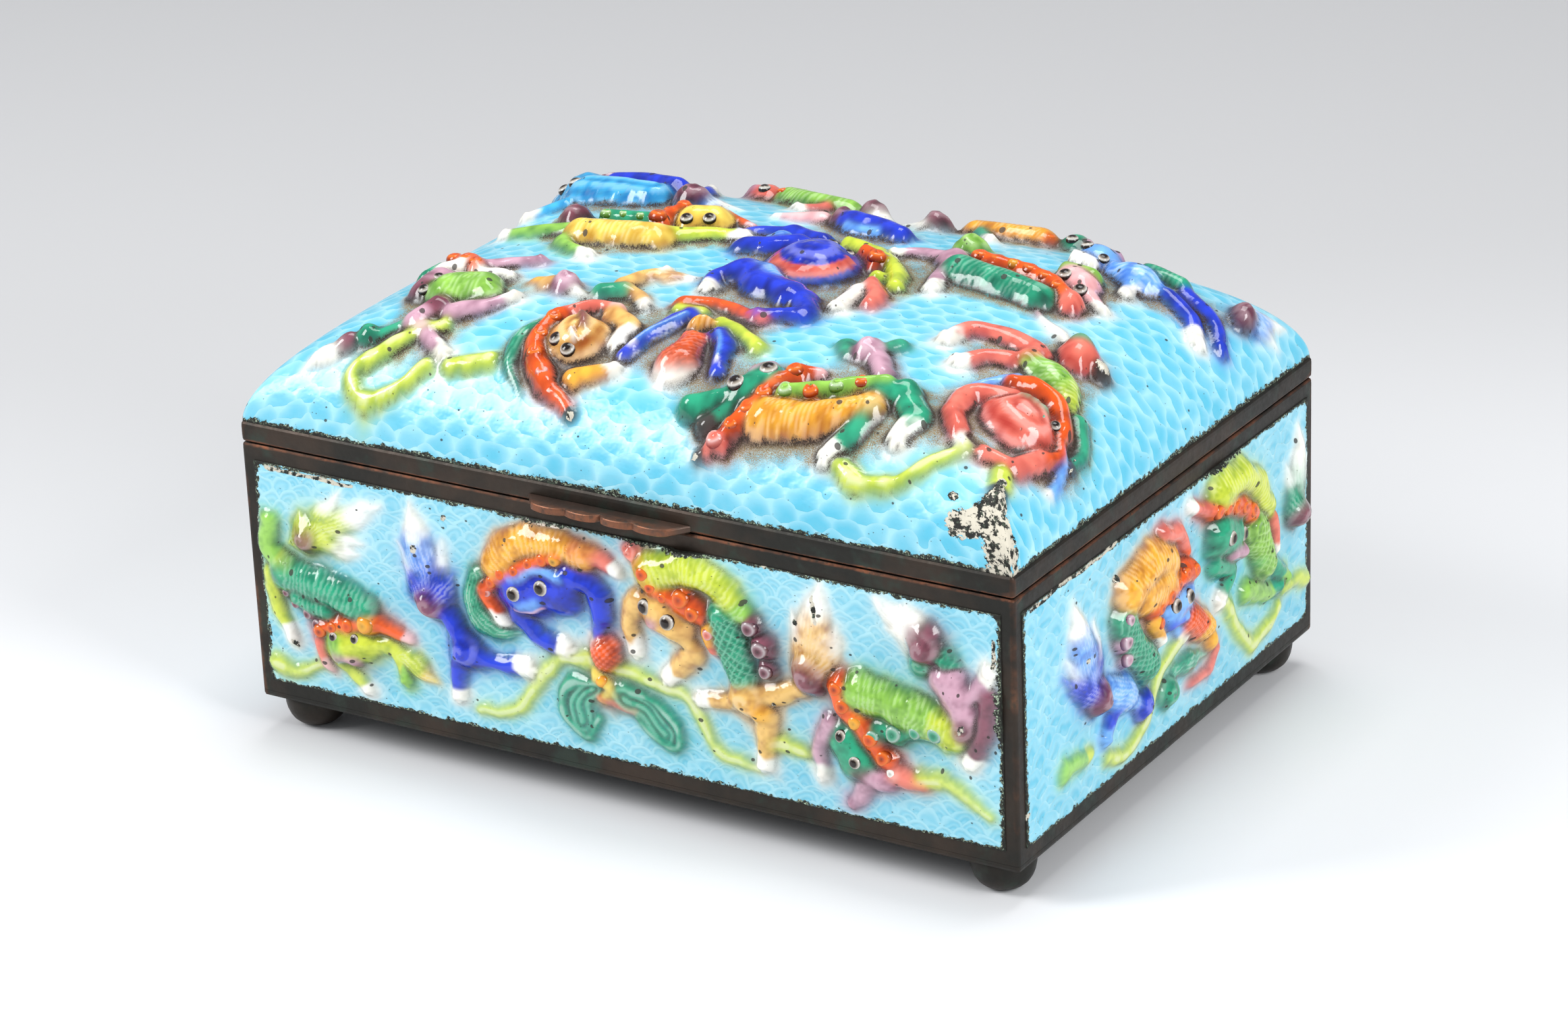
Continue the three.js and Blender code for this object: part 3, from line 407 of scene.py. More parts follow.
class ShortPlateFigures:
    """The figures on a short side: two lion-dogs, a ball, and the tail of a third."""

    def all(self) -> list[Figure]:
        """Returns every figure, u from the middle and v from the bottom of the body."""
        return [self.amber_lion(), self.ball(), self.jade_lion(), self.stray_tail()]

    def amber_lion(self) -> Figure:
        """Returns the lion-dog with an amber back and a pale blue face."""
        lion = Figure()
        lion.limb(LEAF, 2.0, (-38.5, 12), (-30.6, 11.6), tip=1.6, lift=0.7, end=LIME)
        lion.limb(LIME, 1.7, (-24, 8), (-17, 6.6), (-10.8, 10), (-6.4, 16), (0, 18.6), lift=0.7, grain=STRIPE)
        lion.tail((-28.4, 21.4), 3.0, (-35.4, 39.4), petal=COBALT, petals=((-38.2, 27.6),))
        lion.limb(SKY, 3.8, (-31, 26.4), (-33, 32), (-35.4, 39.2), tip=0.5, lift=0.6, end=WHITE,
                  grain=STREAKS)
        lion.limb(SKY, 3.6, (-24.4, 20.4), (-17.6, 16.6), (-12.6, 13.4), tip=3.2, grain=STREAKS)
        lion.leg(COBALT, 2.4, (-22, 16.4), (-24.8, 12.4), paw=SKY)
        lion.limb(COBALT, 3.2, (-12.6, 13.6), grain=COIL)
        lion.limb(JADE, 4.2, (-19.4, 31), (-16, 25), (-10.8, 19.6), tip=3.6, lift=0.9, grain=SCALES)
        lion.curls(MAUVE, 1.6, (-20.2, 31.6), (-20.6, 27.8), (-19.4, 24))
        lion.limb(AMBER, 4.6, (-17.6, 34.6), (-10.6, 37), (-4, 35.4), tip=4.0, lift=0.88, grain=RIBS)
        lion.limb(AMBER, 4.0, (-12.6, 32.4), (-5.6, 32.4), grain=RIBS)
        lion.leg(SKY, 2.0, (-1.6, 23.4), (1.4, 19.4))
        lion.limb(SKY, 5.0, (-3.6, 27.2), (1.2, 27.2), tip=4.4, lift=0.8)
        lion.limb(COBALT, 2.0, (-4.6, 24.4), (0.4, 24), lift=1.7, end=SKY)
        lion.limb(RED, 2.4, (-10.4, 29.6), (-5.4, 30.6), (0, 31.8), (4, 30.8), lift=1.5)
        lion.curls(RED, 1.7, (-9.6, 29.4), (-6.6, 30.4), (-3.4, 31.2), (0, 31.9), (3.2, 31.4))
        lion.limb(CORAL, 2.2, (-4.6, 40.4), (0.4, 38.6), (3, 34.4), tip=1.7, lift=1.2, end=RED)
        lion.limb(AMBER, 2.3, (-9.4, 27), (-7.2, 22.6), tip=1.8, lift=1.5, end=WHITE)
        lion.curls(RED, 1.4, (-9, 26.6))
        return lion.eyes(1.7, (-4.6, 28), (0.6, 27.6))

    def ball(self) -> Figure:
        """Returns the ball with its loop, low in the middle."""
        ball = Figure()
        ball.limb(RED, 3.7, (3, 22.2), (9.4, 18), tip=3.2, end=AMBER, grain=NUBS)
        ball.limb(JADE, 3.4, (-3.4, 11.4), lift=0.75, grain=COIL)
        ball.limb(JADE, 1.8, (-0.6, 14.4), (5.4, 13.6), (11.4, 12.2), lift=0.95, grain=STREAKS)
        ball.limb(CORAL, 1.3, (5, 9.6), (11.4, 9), (14.6, 12))
        ball.limb(AMBER, 2.4, (12.4, 14.6))
        return ball

    def jade_lion(self) -> Figure:
        """Returns the lion-dog with a jade head and a lime back."""
        lion = Figure()
        lion.limb(LIME, 1.7, (17.4, 19.6), (21, 15), (25, 9.4), (31, 7.4), (38, 10.4), lift=0.7, grain=STRIPE)
        lion.limb(LIME, 1.5, (40.4, 13), (46, 12.6), (49.8, 11), lift=0.7)
        lion.limb(LIME, 4.2, (14.6, 40.2), (22, 40.4), (28.6, 37), (32.8, 31), tip=3.2, lift=0.9, grain=RIBS)
        lion.limb(LEAF, 3.8, (27.4, 29.6), (30, 25.6), (31.6, 21), lift=0.95, grain=SCALES)
        lion.leg(JADE, 2.5, (29.6, 22.6), (35.4, 19.6), (40.4, 15.6), paw=LEAF)
        lion.leg(LEAF, 2.4, (25.4, 18.6), (32, 15.4), (37.4, 14.6), paw=JADE)
        lion.leg(JADE, 2.6, (13.2, 27.6), (20, 24.4), (15.6, 20.6))
        lion.limb(JADE, 5.0, (14.8, 32.8), (19.8, 31.6), tip=4.4, lift=0.82)
        lion.limb(MAUVE, 2.5, (18.4, 28.6), (22, 27.6), lift=1.45)
        lion.limb(RED, 2.3, (11.4, 38.6), (17, 37.2), (22, 35.6), (26.4, 33), lift=1.4)
        lion.curls(RED, 1.6, (12, 38.2), (15.2, 37.6), (18.4, 36.8), (21.6, 35.6), (24.8, 34))
        lion.limb(CORAL, 2.0, (10.4, 39.4), (5.4, 41), tip=1.4, lift=1.2, end=WHITE)
        lion.limb(CORAL, 2.0, (34.6, 28), (36.2, 22.4), tip=1.6, lift=1.3, end=WHITE)
        return lion.eyes(1.7, (15.4, 32.4), (21.4, 30.8))

    def stray_tail(self) -> Figure:
        """Returns the tail that shows at the far end, of a lion-dog round the corner."""
        tail = Figure()
        tail.tail((44.6, 25.4), 2.9, (46.8, 41), petal=JADE, petals=((41.6, 31),))
        return tail.limb(WHITE, 2.3, (45, 30), (46, 35), (46.8, 40.6), tip=0.5, lift=0.7, grain=STREAKS)


class LidFigures:
    """The figures on the lid: a great lion-dog on top, others all round it, a ball and ribbons."""

    def all(self) -> list[Figure]:
        """Returns every figure, u to the right and v to the back from the middle of the lid."""
        return [self.great_lion(), self.front_lion(), self.coral_lion(), self.coiled_lion(), self.left_lion(),
                self.yellow_lion(), self.corner_lion(), self.top_tail(), self.jade_lion(), self.far_lion(),
                self.hidden_lion(-27, 42, 1, CORAL, LEAF), self.hidden_lion(36, 42, -1, JADE, AMBER),
                self.ball(), self.ribbons()]

    def great_lion(self) -> Figure:
        """Returns the great cobalt lion-dog in the middle."""
        lion = Figure()
        lion.limb(LIME, 2.3, (7.5, 13), (14.5, 10.6), (21, 5), (24.2, -1), tip=2.0, lift=1.3)
        lion.limb(COBALT, 3.6, (0, 8), (-5, 6.4), (-9, 5), tip=2.8)
        lion.leg(COBALT, 2.4, (-5, 14.5), (-10.5, 13.5), (-13.4, 10.6), paw=COBALT)
        lion.limb(COBALT, 2.8, (2, 13), (-5, 14.5), tip=2.4)
        lion.limb(SKY, 2.2, (-6, 8.8), (0, 10.6), lift=1.5, grain=STREAKS)
        lion.limb(COBALT, 4.2, (-1.5, -6.5), (4, -10.4), (11, -12.6), tip=4.0, lift=0.9)
        lion.limb(SKY, 2.6, (0, -5), (5, -8.4), (13, -11), tip=2.4, lift=1.45, grain=STREAKS)
        lion.leg(COBALT, 2.8, (-2, -4.5), (-5.4, -9), (-4, -14))
        lion.leg(COBALT, 3.0, (14, -13), (17.4, -18.4), (10.6, -21.4), paw=COBALT)
        lion.limb(RED, 2.1, (13.6, 8.4), (17.5, 5.8), lift=1.9)
        lion.curls(RED, 1.8, (13.8, 8.4), (17, 6))
        lion.curls(LIME, 1.8, (19.8, 1.6))
        lion.limb(COBALT, 9.6, (6.8, 1.4), lift=0.6, end=CORAL, grain=BANDS)
        lion.limb(CORAL, 2.5, (20.6, -3), (23.6, -6), (24.6, -10), tip=1.8, lift=1.25)
        lion.leg(WHITE, 2.6, (19.4, -5.4), (20, -9), (20.4, -12.6))
        return lion.eyes(1.4, (3.4, 5.2), (7.6, 6.6), (11.4, 5.6))

    def front_lion(self) -> Figure:
        """Returns the jade lion-dog with an amber body on the front slope."""
        lion = Figure()
        lion.limb(AMBER, 4.4, (26, -44.8), (34.5, -43.4), (41.5, -39.6), tip=3.6, lift=0.95, grain=RIBS)
        lion.leg(JADE, 3.2, (45.2, -34.6), (49.6, -38.4), (49.4, -42.4))
        lion.leg(JADE, 2.7, (42.4, -40.2), (41.4, -44), (39, -47.4))
        lion.limb(JADE, 3.0, (42, -36.6), (46, -34.4), lift=1.1)
        lion.limb(MAUVE, 2.2, (39.6, -30.6), (37, -28.2), tip=2.6)
        lion.limb(JADE, 1.9, (31.6, -27.6), (29, -25.2), lift=0.8)
        lion.limb(JADE, 1.9, (36.4, -24.4), (37.4, -21.4), lift=0.8)
        lion.limb(PLUM, 3.5, (34.4, -26.6), lift=1.05, end=MAUVE, grain=COIL)
        lion.limb(JADE, 3.3, (12.4, -45), (16.4, -42.6), tip=2.4)
        lion.limb(JADE, 4.4, (19.6, -41.4), (22.4, -38.6), lift=0.85)
        lion.limb(MAUVE, 2.0, (19.6, -37.6), (22, -36), lift=1.5)
        lion.limb(JADE, 2.2, (18, -44.8), (15.6, -46.8), end=SOOT)
        lion.limb(RED, 2.3, (20.6, -47), (23.4, -43.4), (24.6, -39.4), (26.8, -36.8), lift=1.4)
        lion.curls(RED, 1.75, (20.8, -46.8), (22.6, -44.4), (24, -41.8), (24.8, -38.8), (26.6, -36.6))
        lion.limb(RED, 2.1, (27.6, -35.8), (30.4, -34.4), tip=1.4, lift=1.4, end=PINK)
        lion.limb(CORAL, 1.9, (19.4, -48.4), (15.8, -49.8), tip=1.2, lift=1.1, end=SOOT)
        lion.curls(CORAL, 1.7, (18.8, -48.6))
        lion.limb(LEAF, 2.2, (27.6, -41.2), (42.4, -35), lift=1.9)
        lion.curls(LEAF, 1.9, (27.8, -41.2), (35.8, -38.6), (42.2, -34.8))
        lion.curls(RED, 1.9, (32, -40.4), (39.2, -36.8))
        return lion.eyes(1.95, (18.6, -41.4), (22.6, -37.9))

    def coral_lion(self) -> Figure:
        """Returns the coral lion-dog at the right end of the front slope."""
        lion = Figure()
        lion.limb(LEAF, 3.9, (57.4, -13.6), (63.4, -15.4), (68, -19.4), tip=3.0, lift=0.95, end=LIME,
                  grain=STREAKS)
        lion.limb(JADE, 2.0, (68.6, -19), (71.4, -23.6), (71.8, -28), tip=1.3, lift=0.9, end=SOOT)
        lion.leg(CORAL, 3.0, (55.6, -9.6), (48.4, -8.8), (43.6, -10.6), (42.6, -15))
        lion.leg(CORAL, 2.7, (54, -15), (50.4, -18), (48, -21.6))
        lion.limb(CORAL, 3.2, (56.4, -12.4))
        lion.limb(SKY, 2.0, (58, -20.4), (55.4, -24.4), (52.6, -29.4), tip=0.9, lift=1.3, end=WHITE)
        lion.limb(SKY, 1.8, (70.4, -28.6), (71.8, -33), (72.2, -36.4), tip=1.0, end=WHITE)
        lion.limb(CORAL, 2.7, (60, -25.6), (55.2, -29.6), (54.4, -35), (57.6, -38.8), tip=2.3, lift=1.15)
        lion.leg(CORAL, 2.1, (56.2, -38), (59.2, -40.6))
        lion.leg(CORAL, 2.8, (68.8, -33.8), (68, -38.8), (63.8, -40.4), paw=CORAL)
        lion.limb(CORAL, 6.8, (63.4, -29.4), (64.8, -29.8), lift=0.7, grain=RINGS)
        lion.limb(JADE, 1.9, (62, -27.4), (65.6, -26.6), lift=2.3, grain=COIL)
        lion.limb(RED, 2.4, (58.6, -22.8), (61, -20.4), (65, -20.6), (68.4, -24.6), lift=1.6)
        lion.limb(RED, 1.8, (68.6, -25), (70, -29.6), (69.4, -33), lift=1.6)
        lion.curls(JADE, 1.2, (65.8, -28.6))
        lion.limb(WHITE, 1.6, (56.4, -1.4), (52.4, 1.6), (48.6, 3.6), tip=0.6, lift=0.8, end=PINK)
        lion.limb(CORAL, 4.6, (61, -4.6), lift=0.95)
        lion.limb(JADE, 3.4, (60, -2.6), lift=1.32)
        lion.limb(SOOT, 2.2, (64.4, -4.4), lift=1.5)
        return lion.eyes(1.25, (62, -25.6), (67.2, -26.2))

    def coiled_lion(self) -> Figure:
        """Returns the ochre lion-dog whose face is coiled, left of the ball."""
        lion = Figure()
        lion.limb(JADE, 2.3, (-23, -33.4), (-24.8, -38.4), (-24.4, -43.4), (-21, -47), tip=1.8, lift=0.95,
                  grain=STREAKS)
        lion.limb(CORAL, 1.7, (-21.4, -32), (-17.6, -28.6), (-12.4, -28), lift=1.6, end=PINK)
        lion.leg(OCHRE, 3.0, (-12.6, -29.6), (-9.2, -31.8), (-8.2, -35))
        lion.leg(AMBER, 2.4, (-11.8, -44.2), (-8.4, -42.6), (-5.6, -41))
        lion.limb(JADE, 2.5, (-19.4, -23), (-16.4, -21.8))
        lion.leg(OCHRE, 2.3, (-18.6, -19), (-16.6, -14.6), (-14.4, -11))
        lion.limb(OCHRE, 1.8, (-14.4, -13), (-8.4, -9.6), tip=0.8, lift=0.8, end=WHITE, grain=STREAKS)
        lion.leg(OCHRE, 2.2, (-16.6, -20.8), (-13.4, -21.8), (-10.4, -23.6))
        lion.limb(OCHRE, 2.3, (-30.4, -22.8), (-33.6, -22.4), tip=1.4, lift=0.9, end=AMBER)
        lion.limb(WHITE, 1.3, (-25, -23.6), (-20.6, -25), tip=0.7, lift=0.9)
        lion.limb(PLUM, 3.0, (-27.4, -22.6), lift=1.15, end=MAUVE, grain=COIL)
        lion.limb(OCHRE, 6.2, (-15.2, -37.4), lift=0.8, grain=RINGS)
        lion.limb(PLUM, 1.3, (-14.8, -35.4), (-13.2, -37.4), lift=4.2)
        lion.limb(WHITE, 0.8, (-15.2, -38.6), (-13.6, -39.6), lift=6.6)
        lion.limb(RED, 2.3, (-21.4, -33.6), (-21.6, -38.4), (-20, -42.6), (-17, -45), lift=1.5)
        lion.curls(RED, 1.8, (-21.2, -34.6), (-21.2, -38.6), (-20, -42.2))
        lion.curls(CORAL, 1.6, (-16.8, -44.8))
        lion.limb(RED, 1.9, (-16, -45.6), (-12.6, -47.4), (-9.8, -48.8), tip=1.2, lift=1.1, end=SOOT)
        return lion.eyes(1.7, (-17.6, -39.4), (-14.6, -40.6))

    def left_lion(self) -> Figure:
        """Returns the lime lion-dog with plum legs on the left slope."""
        lion = Figure()
        lion.limb(LEAF, 4.8, (-46.4, -29.8), (-40, -28.2), tip=4.4, lift=0.9, grain=RIBS)
        lion.leg(MAUVE, 2.4, (-47.4, -19), (-42, -16.4), (-38.4, -14.8), paw=MAUVE)
        lion.leg(WHITE, 2.1, (-46.4, -21), (-42.6, -21), (-39.6, -22))
        lion.limb(PLUM, 3.0, (-44.6, -34.8), (-46.6, -39.4), tip=2.6, lift=1.15, end=MAUVE)
        lion.leg(MAUVE, 2.5, (-46.6, -39), (-42, -42), (-38.6, -43.4))
        lion.leg(MAUVE, 2.6, (-41.4, -35.6), (-37.4, -32.8), (-33.6, -29))
        lion.limb(JADE, 1.7, (-48.4, -40), (-53, -42.2), tip=1.5)
        lion.limb(WHITE, 2.2, (-58.4, -45), (-61, -46.6), (-64, -48.6), tip=0.6, lift=0.8, grain=STREAKS)
        lion.limb(PLUM, 2.3, (-57.6, -44.2))
        lion.limb(JADE, 2.7, (-54.4, -42.4))
        lion.limb(PLUM, 3.7, (-51.4, -29), (-51, -25.4), lift=0.95, end=MAUVE)
        lion.limb(JADE, 2.3, (-55, -23.4), (-54.4, -20.4), lift=1.2)
        lion.limb(WHITE, 2.4, (-52.4, -21.4), (-50.4, -20.4), lift=1.3)
        lion.limb(RED, 2.2, (-53.6, -17.4), (-50, -18.6), (-46.6, -20.6), lift=1.4)
        lion.curls(RED, 1.7, (-53, -17.8), (-49.8, -18.8), (-46.8, -20.4))
        return lion.eyes(1.4, (-50, -31.4), (-49.6, -27.4))

    def yellow_lion(self) -> Figure:
        """Returns the yellow lion-dog on the left of the top."""
        lion = Figure()
        lion.leg(LEAF, 2.6, (-41, 2.6), (-48, 0.8), (-55.4, 1.2))
        lion.leg(LEAF, 2.3, (-40, -4.4), (-36.4, -7), (-32.4, -8.6))
        lion.limb(SUN, 4.3, (-38.4, -0.6), (-31.4, 0.8), (-24.6, 1.8), tip=3.9, grain=RIBS)
        lion.limb(JADE, 1.9, (-38, 6.4), (-28.4, 7.6), lift=1.9)
        lion.curls(LEAF, 1.5, (-37.6, 6.2), (-34.4, 6.8), (-31.2, 7.2))
        lion.tail((-45, 7.2), 2.7, (-52, 10.6), petal=LEAF)
        lion.leg(LIME, 2.9, (-23.4, 4.4), (-18.4, 7.4), (-12.4, 9.4))
        lion.limb(AMBER, 4.5, (-23, 12.4), (-20.6, 13.4), lift=0.95, end=SUN)
        lion.limb(RED, 2.2, (-28, 7.4), (-27.6, 11.6), (-27, 15.4), lift=1.6)
        lion.curls(RED, 1.8, (-28, 7.8), (-28, 11.4), (-27.2, 14.8), (-24.6, 17.2))
        lion.limb(RED, 2.0, (-22.6, 17.6), (-18.4, 16.8), (-13.6, 15.4), tip=1.2, lift=1.2, end=PINK)
        return lion.eyes(1.5, (-23.4, 9.4), (-19.6, 10.8))

    def corner_lion(self) -> Figure:
        """Returns the turquoise lion-dog at the back left corner."""
        lion = Figure()
        lion.limb(SEA, 5.2, (-53, 23), (-45, 22), (-38, 22), tip=4.4, lift=0.95, grain=RINGS)
        lion.limb(COBALT, 3.4, (-51, 29.6), (-43.6, 29), (-37, 27), lift=1.2)
        lion.leg(SEA, 2.6, (-60, 25.6), (-64, 30.6), (-65, 35))
        lion.leg(SEA, 2.5, (-54.4, 18), (-59.4, 14.4))
        lion.leg(COBALT, 2.5, (-37, 24.6), (-34, 30), (-35, 35))
        lion.limb(SEA, 5.6, (-56, 27), lift=0.86, grain=COIL)
        lion.limb(PLUM, 2.4, (-56.4, 33), (-50.6, 33.4), lift=1.4, end=MAUVE)
        lion.curls(MAUVE, 1.7, (-58.4, 32.4), (-54.6, 33.4), (-50.6, 33.6))
        lion.tail((-30.4, 22.6), 3.0, (-22.6, 25), petal=SKY)
        return lion.eyes(1.6, (-59.4, 25.4), (-55.4, 23.2))

    def top_tail(self) -> Figure:
        """Returns the cobalt lion-dog's rump with a plum tail behind the great lion-dog."""
        lion = Figure()
        lion.limb(COBALT, 3.7, (1.4, 24.6), (6.4, 24), (11.6, 22.6), tip=3.0)
        lion.limb(SKY, 1.6, (2, 21.6), (8, 21), lift=1.2)
        lion.limb(PINK, 2.4, (-6, 25.6), (-10.6, 24.6), (-14.6, 24), tip=1.0, lift=0.9, end=WHITE)
        return lion.limb(PLUM, 3.3, (-1.6, 26), lift=1.1, grain=COIL)

    def jade_lion(self) -> Figure:
        """Returns the jade lion-dog on the right of the top."""
        lion = Figure()
        lion.limb(JADE, 4.5, (30.6, 9.4), (38.4, 8.6), (46.4, 7.4), tip=4.0, lift=0.95, grain=RIBS)
        lion.leg(MAUVE, 2.4, (26, 16.4), (19.6, 15.4), (15.6, 13.6))
        lion.leg(MAUVE, 2.6, (27.4, 13), (28.4, 7), (30, 2.2))
        lion.limb(MAUVE, 3.0, (26.6, 15))
        lion.limb(LEAF, 3.6, (26.4, 21.6), lift=1.05, grain=COIL)
        lion.limb(RED, 2.4, (31.4, 14.6), (38, 14.4), (45, 13.4), (49.8, 10.2), lift=1.5)
        lion.curls(RED, 1.8, (31.8, 14.6), (35.2, 14.6), (41.6, 14.2))
        lion.curls(AMBER, 1.9, (38.4, 14.6))
        lion.curls(RED, 1.9, (45, 13.2), (48.2, 11.2))
        lion.limb(CORAL, 2.9, (51.6, 9.4), lift=1.25)
        lion.limb(WHITE, 3.8, (47.6, 18.4), (49.6, 17.6), lift=0.95, end=PINK)
        lion.limb(LEAF, 2.0, (45.4, 20.6), (49.6, 21.4), lift=1.6)
        lion.leg(PINK, 2.3, (51.4, 16), (55, 13.4))
        return lion.eyes(1.6, (46.6, 16.6), (50.6, 14.4))

    def far_lion(self) -> Figure:
        """Returns the blue lion-dog at the right end of the top."""
        lion = Figure()
        lion.limb(SKY, 4.0, (50.4, 28.6), (57, 27.6), (62.6, 29.6), tip=3.6, grain=STREAKS)
        lion.limb(JADE, 2.4, (54, 32), (60.6, 33), lift=1.4, grain=RIBS)
        lion.leg(COBALT, 2.7, (62.4, 31.6), (67.4, 30.6), (70.4, 27.4), paw=COBALT)
        lion.leg(COBALT, 2.7, (61, 28), (65.4, 26.4), (68, 23))
        lion.leg(SKY, 2.4, (54.6, 26), (55.6, 22.6))
        lion.limb(COBALT, 4.4, (45.8, 30.4), lift=0.95, end=SKY)
        lion.limb(WHITE, 1.4, (43, 27.4), (46.4, 26.6), lift=2.2)
        lion.limb(MAUVE, 1.6, (44, 33.4), (47.6, 33.6), lift=1.9)
        lion.tail((69, 37.6), 2.7, (72.2, 47), petal=SKY)
        return lion.eyes(1.4, (43.6, 30), (47.6, 28.4))

    def hidden_lion(self, u: float, v: float, way: int, skin: Tint, coat: Tint) -> Figure:
        """Returns a lion-dog for the back slope.

        Args:
            u: Where its head is, to the right.
            v: Where its head is, to the back.
            way: 1 if its body lies to the right of its head, -1 if to the left.
            skin: The colour of its head and legs.
            coat: The colour of its body.

        Returns:
            The figure.
        """
        lion = Figure()

        def at(along: float, back: float) -> Spot:
            """Returns a spot from its place along the figure and behind its head."""
            return u + way * along, v + back

        lion.limb(coat, 3.9, at(6, -2), at(13, -4), at(19, -3), tip=3.3, grain=RIBS)
        lion.leg(skin, 2.3, at(5, 2), at(3, 5), at(-1, 6))
        lion.leg(skin, 2.3, at(17, 0), at(20, 4), at(24, 5.4))
        lion.leg(skin, 2.1, at(16, -6.6), at(12.6, -10))
        lion.limb(skin, 4.4, at(0, 0), lift=0.9)
        lion.limb(MAUVE, 1.9, at(-2.4, -1.4), lift=1.7)
        lion.curls(RED, 1.6, at(4, 3), at(5, 0), at(4.4, -3.2))
        lion.tail(at(25, -6), 2.7, at(31, -9), petal=WHITE)
        return lion.eyes(1.4, at(-1.6, 1.8), at(0.4, -2.6))

    def ball(self) -> Figure:
        """Returns the brocade ball on the front slope, in its ribbons."""
        ball = Figure()
        ball.limb(RED, 2.6, (-3.4, -21.8), (3.6, -20.4), (11.4, -22.6), tip=1.8, lift=0.9, end=CORAL)
        ball.limb(LIME, 1.6, (-3.4, -24.4), (0.6, -24), lift=1.1)
        ball.limb(LIME, 2.2, (6, -26.2), (10.6, -27.6), (16, -31), tip=1.8)
        ball.limb(COBALT, 2.3, (-0.6, -26), (-3.2, -30.6), (-4.8, -37.6), tip=1.9, lift=1.05)
        ball.limb(COBALT, 2.3, (7.4, -29.6), (11, -33), (12, -38), tip=1.9, lift=1.05)
        for streak in (((-0.4, -27), (-3, -31.4), (-4.4, -36.6)), ((7.8, -30.4), (10.8, -33.6), (11.6, -37))):
            ball.limb(SKY, 0.75, *streak, lift=3.3, end=WHITE)
        ball.limb(WHITE, 3.6, (4.4, -39), (5, -39.4), lift=0.5)
        ball.limb(RED, 3.0, (4.2, -32), (4.6, -37.4), tip=4.2, lift=0.85, grain=NUBS)
        return ball.limb(AMBER, 2.8, (3.2, -27.6), (4, -29.6), tip=2.2, lift=1.15, grain=STREAKS)

    def ribbons(self) -> Figure:
        """Returns the lime ribbons on the front slope."""
        ribbon = Figure()
        ribbon.limb(LIME, 1.9, (-41.4, -38.4), (-46, -42.2), (-51, -46), (-53.6, -49), (-50.4, -50.8),
                    (-44.6, -49.4), (-40, -46.2), lift=0.9, grain=STRIPE)
        ribbon.limb(LIME, 1.9, (-35.6, -45), (-29, -43.8), lift=0.9, grain=STRIPE)
        ribbon.limb(LIME, 2.0, (42, -48.4), (47, -49.4), (52.6, -48), (57.4, -44.4), (60.4, -41), tip=1.4,
                    lift=0.9, grain=STRIPE)
        return ribbon.limb(LIME, 2.1, (66.8, -42.4), (68.8, -46.4), tip=1.8, lift=0.8, end=SOOT)


@dataclass(frozen=True)
class BoxSizes:
    """The sizes of the box in millimetres, as its solids have them."""

    length: float = 150.0
    depth: float = 106.3
    body_foot: float = 6.2
    base_top: float = 7.4
    body_top: float = 53.6
    rim_foot: float = 53.9
    rim_top: float = 57.4
    wall: float = 2.0
    corner: float = 0.7
    foot_radius: float = 5.6
    foot_inset: float = 6.6
    plate_margin: float = 2.4
    plate_proud: float = 0.2
    plate_bed: float = 0.8
    plate_low: float = 3.6
    plate_high: float = 44.6
    plate_relief: float = 4.2
    dome_inset: float = 0.4
    dome_height: float = 21.7
    dome_run_across: float = 47.0
    dome_run_back: float = 39.0
    dome_curve: float = 1.78
    hip_curve: float = 3.4
    lid_shell: float = 1.8
    lid_top: float = 84.65
    hinge_y: float = 54.45
    hinge_z: float = 53.75


SIZES = BoxSizes()


def lines(*spans: tuple[float, float, float]) -> Grid:
    """Returns grid lines for spans that follow on from each other.

    Args:
        spans: Each span's start, end and spacing.

    Returns:
        The lines, from the first start to the last end.
    """
    parts = []
    for start, stop, step in spans:
        count = max(1, round((stop - start) / step))
        parts.append(np.linspace(start, stop, count + 1)[:-1])
    parts.append(np.array([spans[-1][1]]))
    return np.concatenate(parts)


class PlateSheet:
    """The flat sheet of a side plate."""

    swell = 0.84
    roundness = 0.85
    ceiling = 3.2
    shadow = 0.0
    # How strongly creases and low ground are darkened, by dirt and by painted shade.
    crease_dirt_and_shade = 0.5
    basin_dirt_and_shade = 0.0
    bead_sink = 0.68

    def __init__(self, origin: Spot, turn: float, half: float, step: float) -> None:
        """Places the sheet.

        Args:
            origin: The middle of the plate's face on the plan.
            turn: The angle of its u axis on the plan, in degrees.
            half: Half its length.
            step: The spacing of its grid.
        """
        angle = math.radians(turn)
        self.along = np.array([math.cos(angle), math.sin(angle), 0])
        self.out = np.array([math.sin(angle), -math.cos(angle), 0])
        self.origin = np.array([origin[0], origin[1], SIZES.body_foot])
        self.u = lines((-half, half, step))
        self.v = lines((SIZES.plate_low, SIZES.plate_high, step))
        self.half = half

    def place(self, u: Grid, v: Grid, lift: Grid) -> Grid:
        """Returns the points at (u, v) on the sheet, raised by lift."""
        up = np.array([0, 0, 1])
        return self.origin + u[..., None] * self.along + v[..., None] * up + lift[..., None] * self.out

    def flow(self, u: Grid, v: Grid) -> tuple[Grid, Grid]:
        """Returns the place of each point for the ground's pattern."""
        return u, v

    def stretch(self, u: Grid, v: Grid) -> tuple[Grid, Grid]:
        """Returns how much longer the surface is than its plan, along u and along v."""
        return np.ones_like(u), np.ones_like(v)

    def edge(self, u: Grid, v: Grid) -> Grid:
        """Returns how far inside the enamel's outline each point is."""
        across = self.half - 0.5 - np.abs(u)
        along = np.minimum(v - SIZES.plate_low, SIZES.plate_high - v) - 0.35
        corner = 1.4 - np.hypot(np.maximum(1.4 - across, 0), np.maximum(1.4 - along, 0))
        return np.where((across < 1.4) & (along < 1.4), corner, np.minimum(across, along))

    def limit(self, points: Grid) -> Grid:
        """Returns the points, none of which stands out further than the solids."""
        out = np.minimum((points - self.origin) @ self.out, SIZES.plate_relief)
        return points + (out - (points - self.origin) @ self.out)[..., None] * self.out


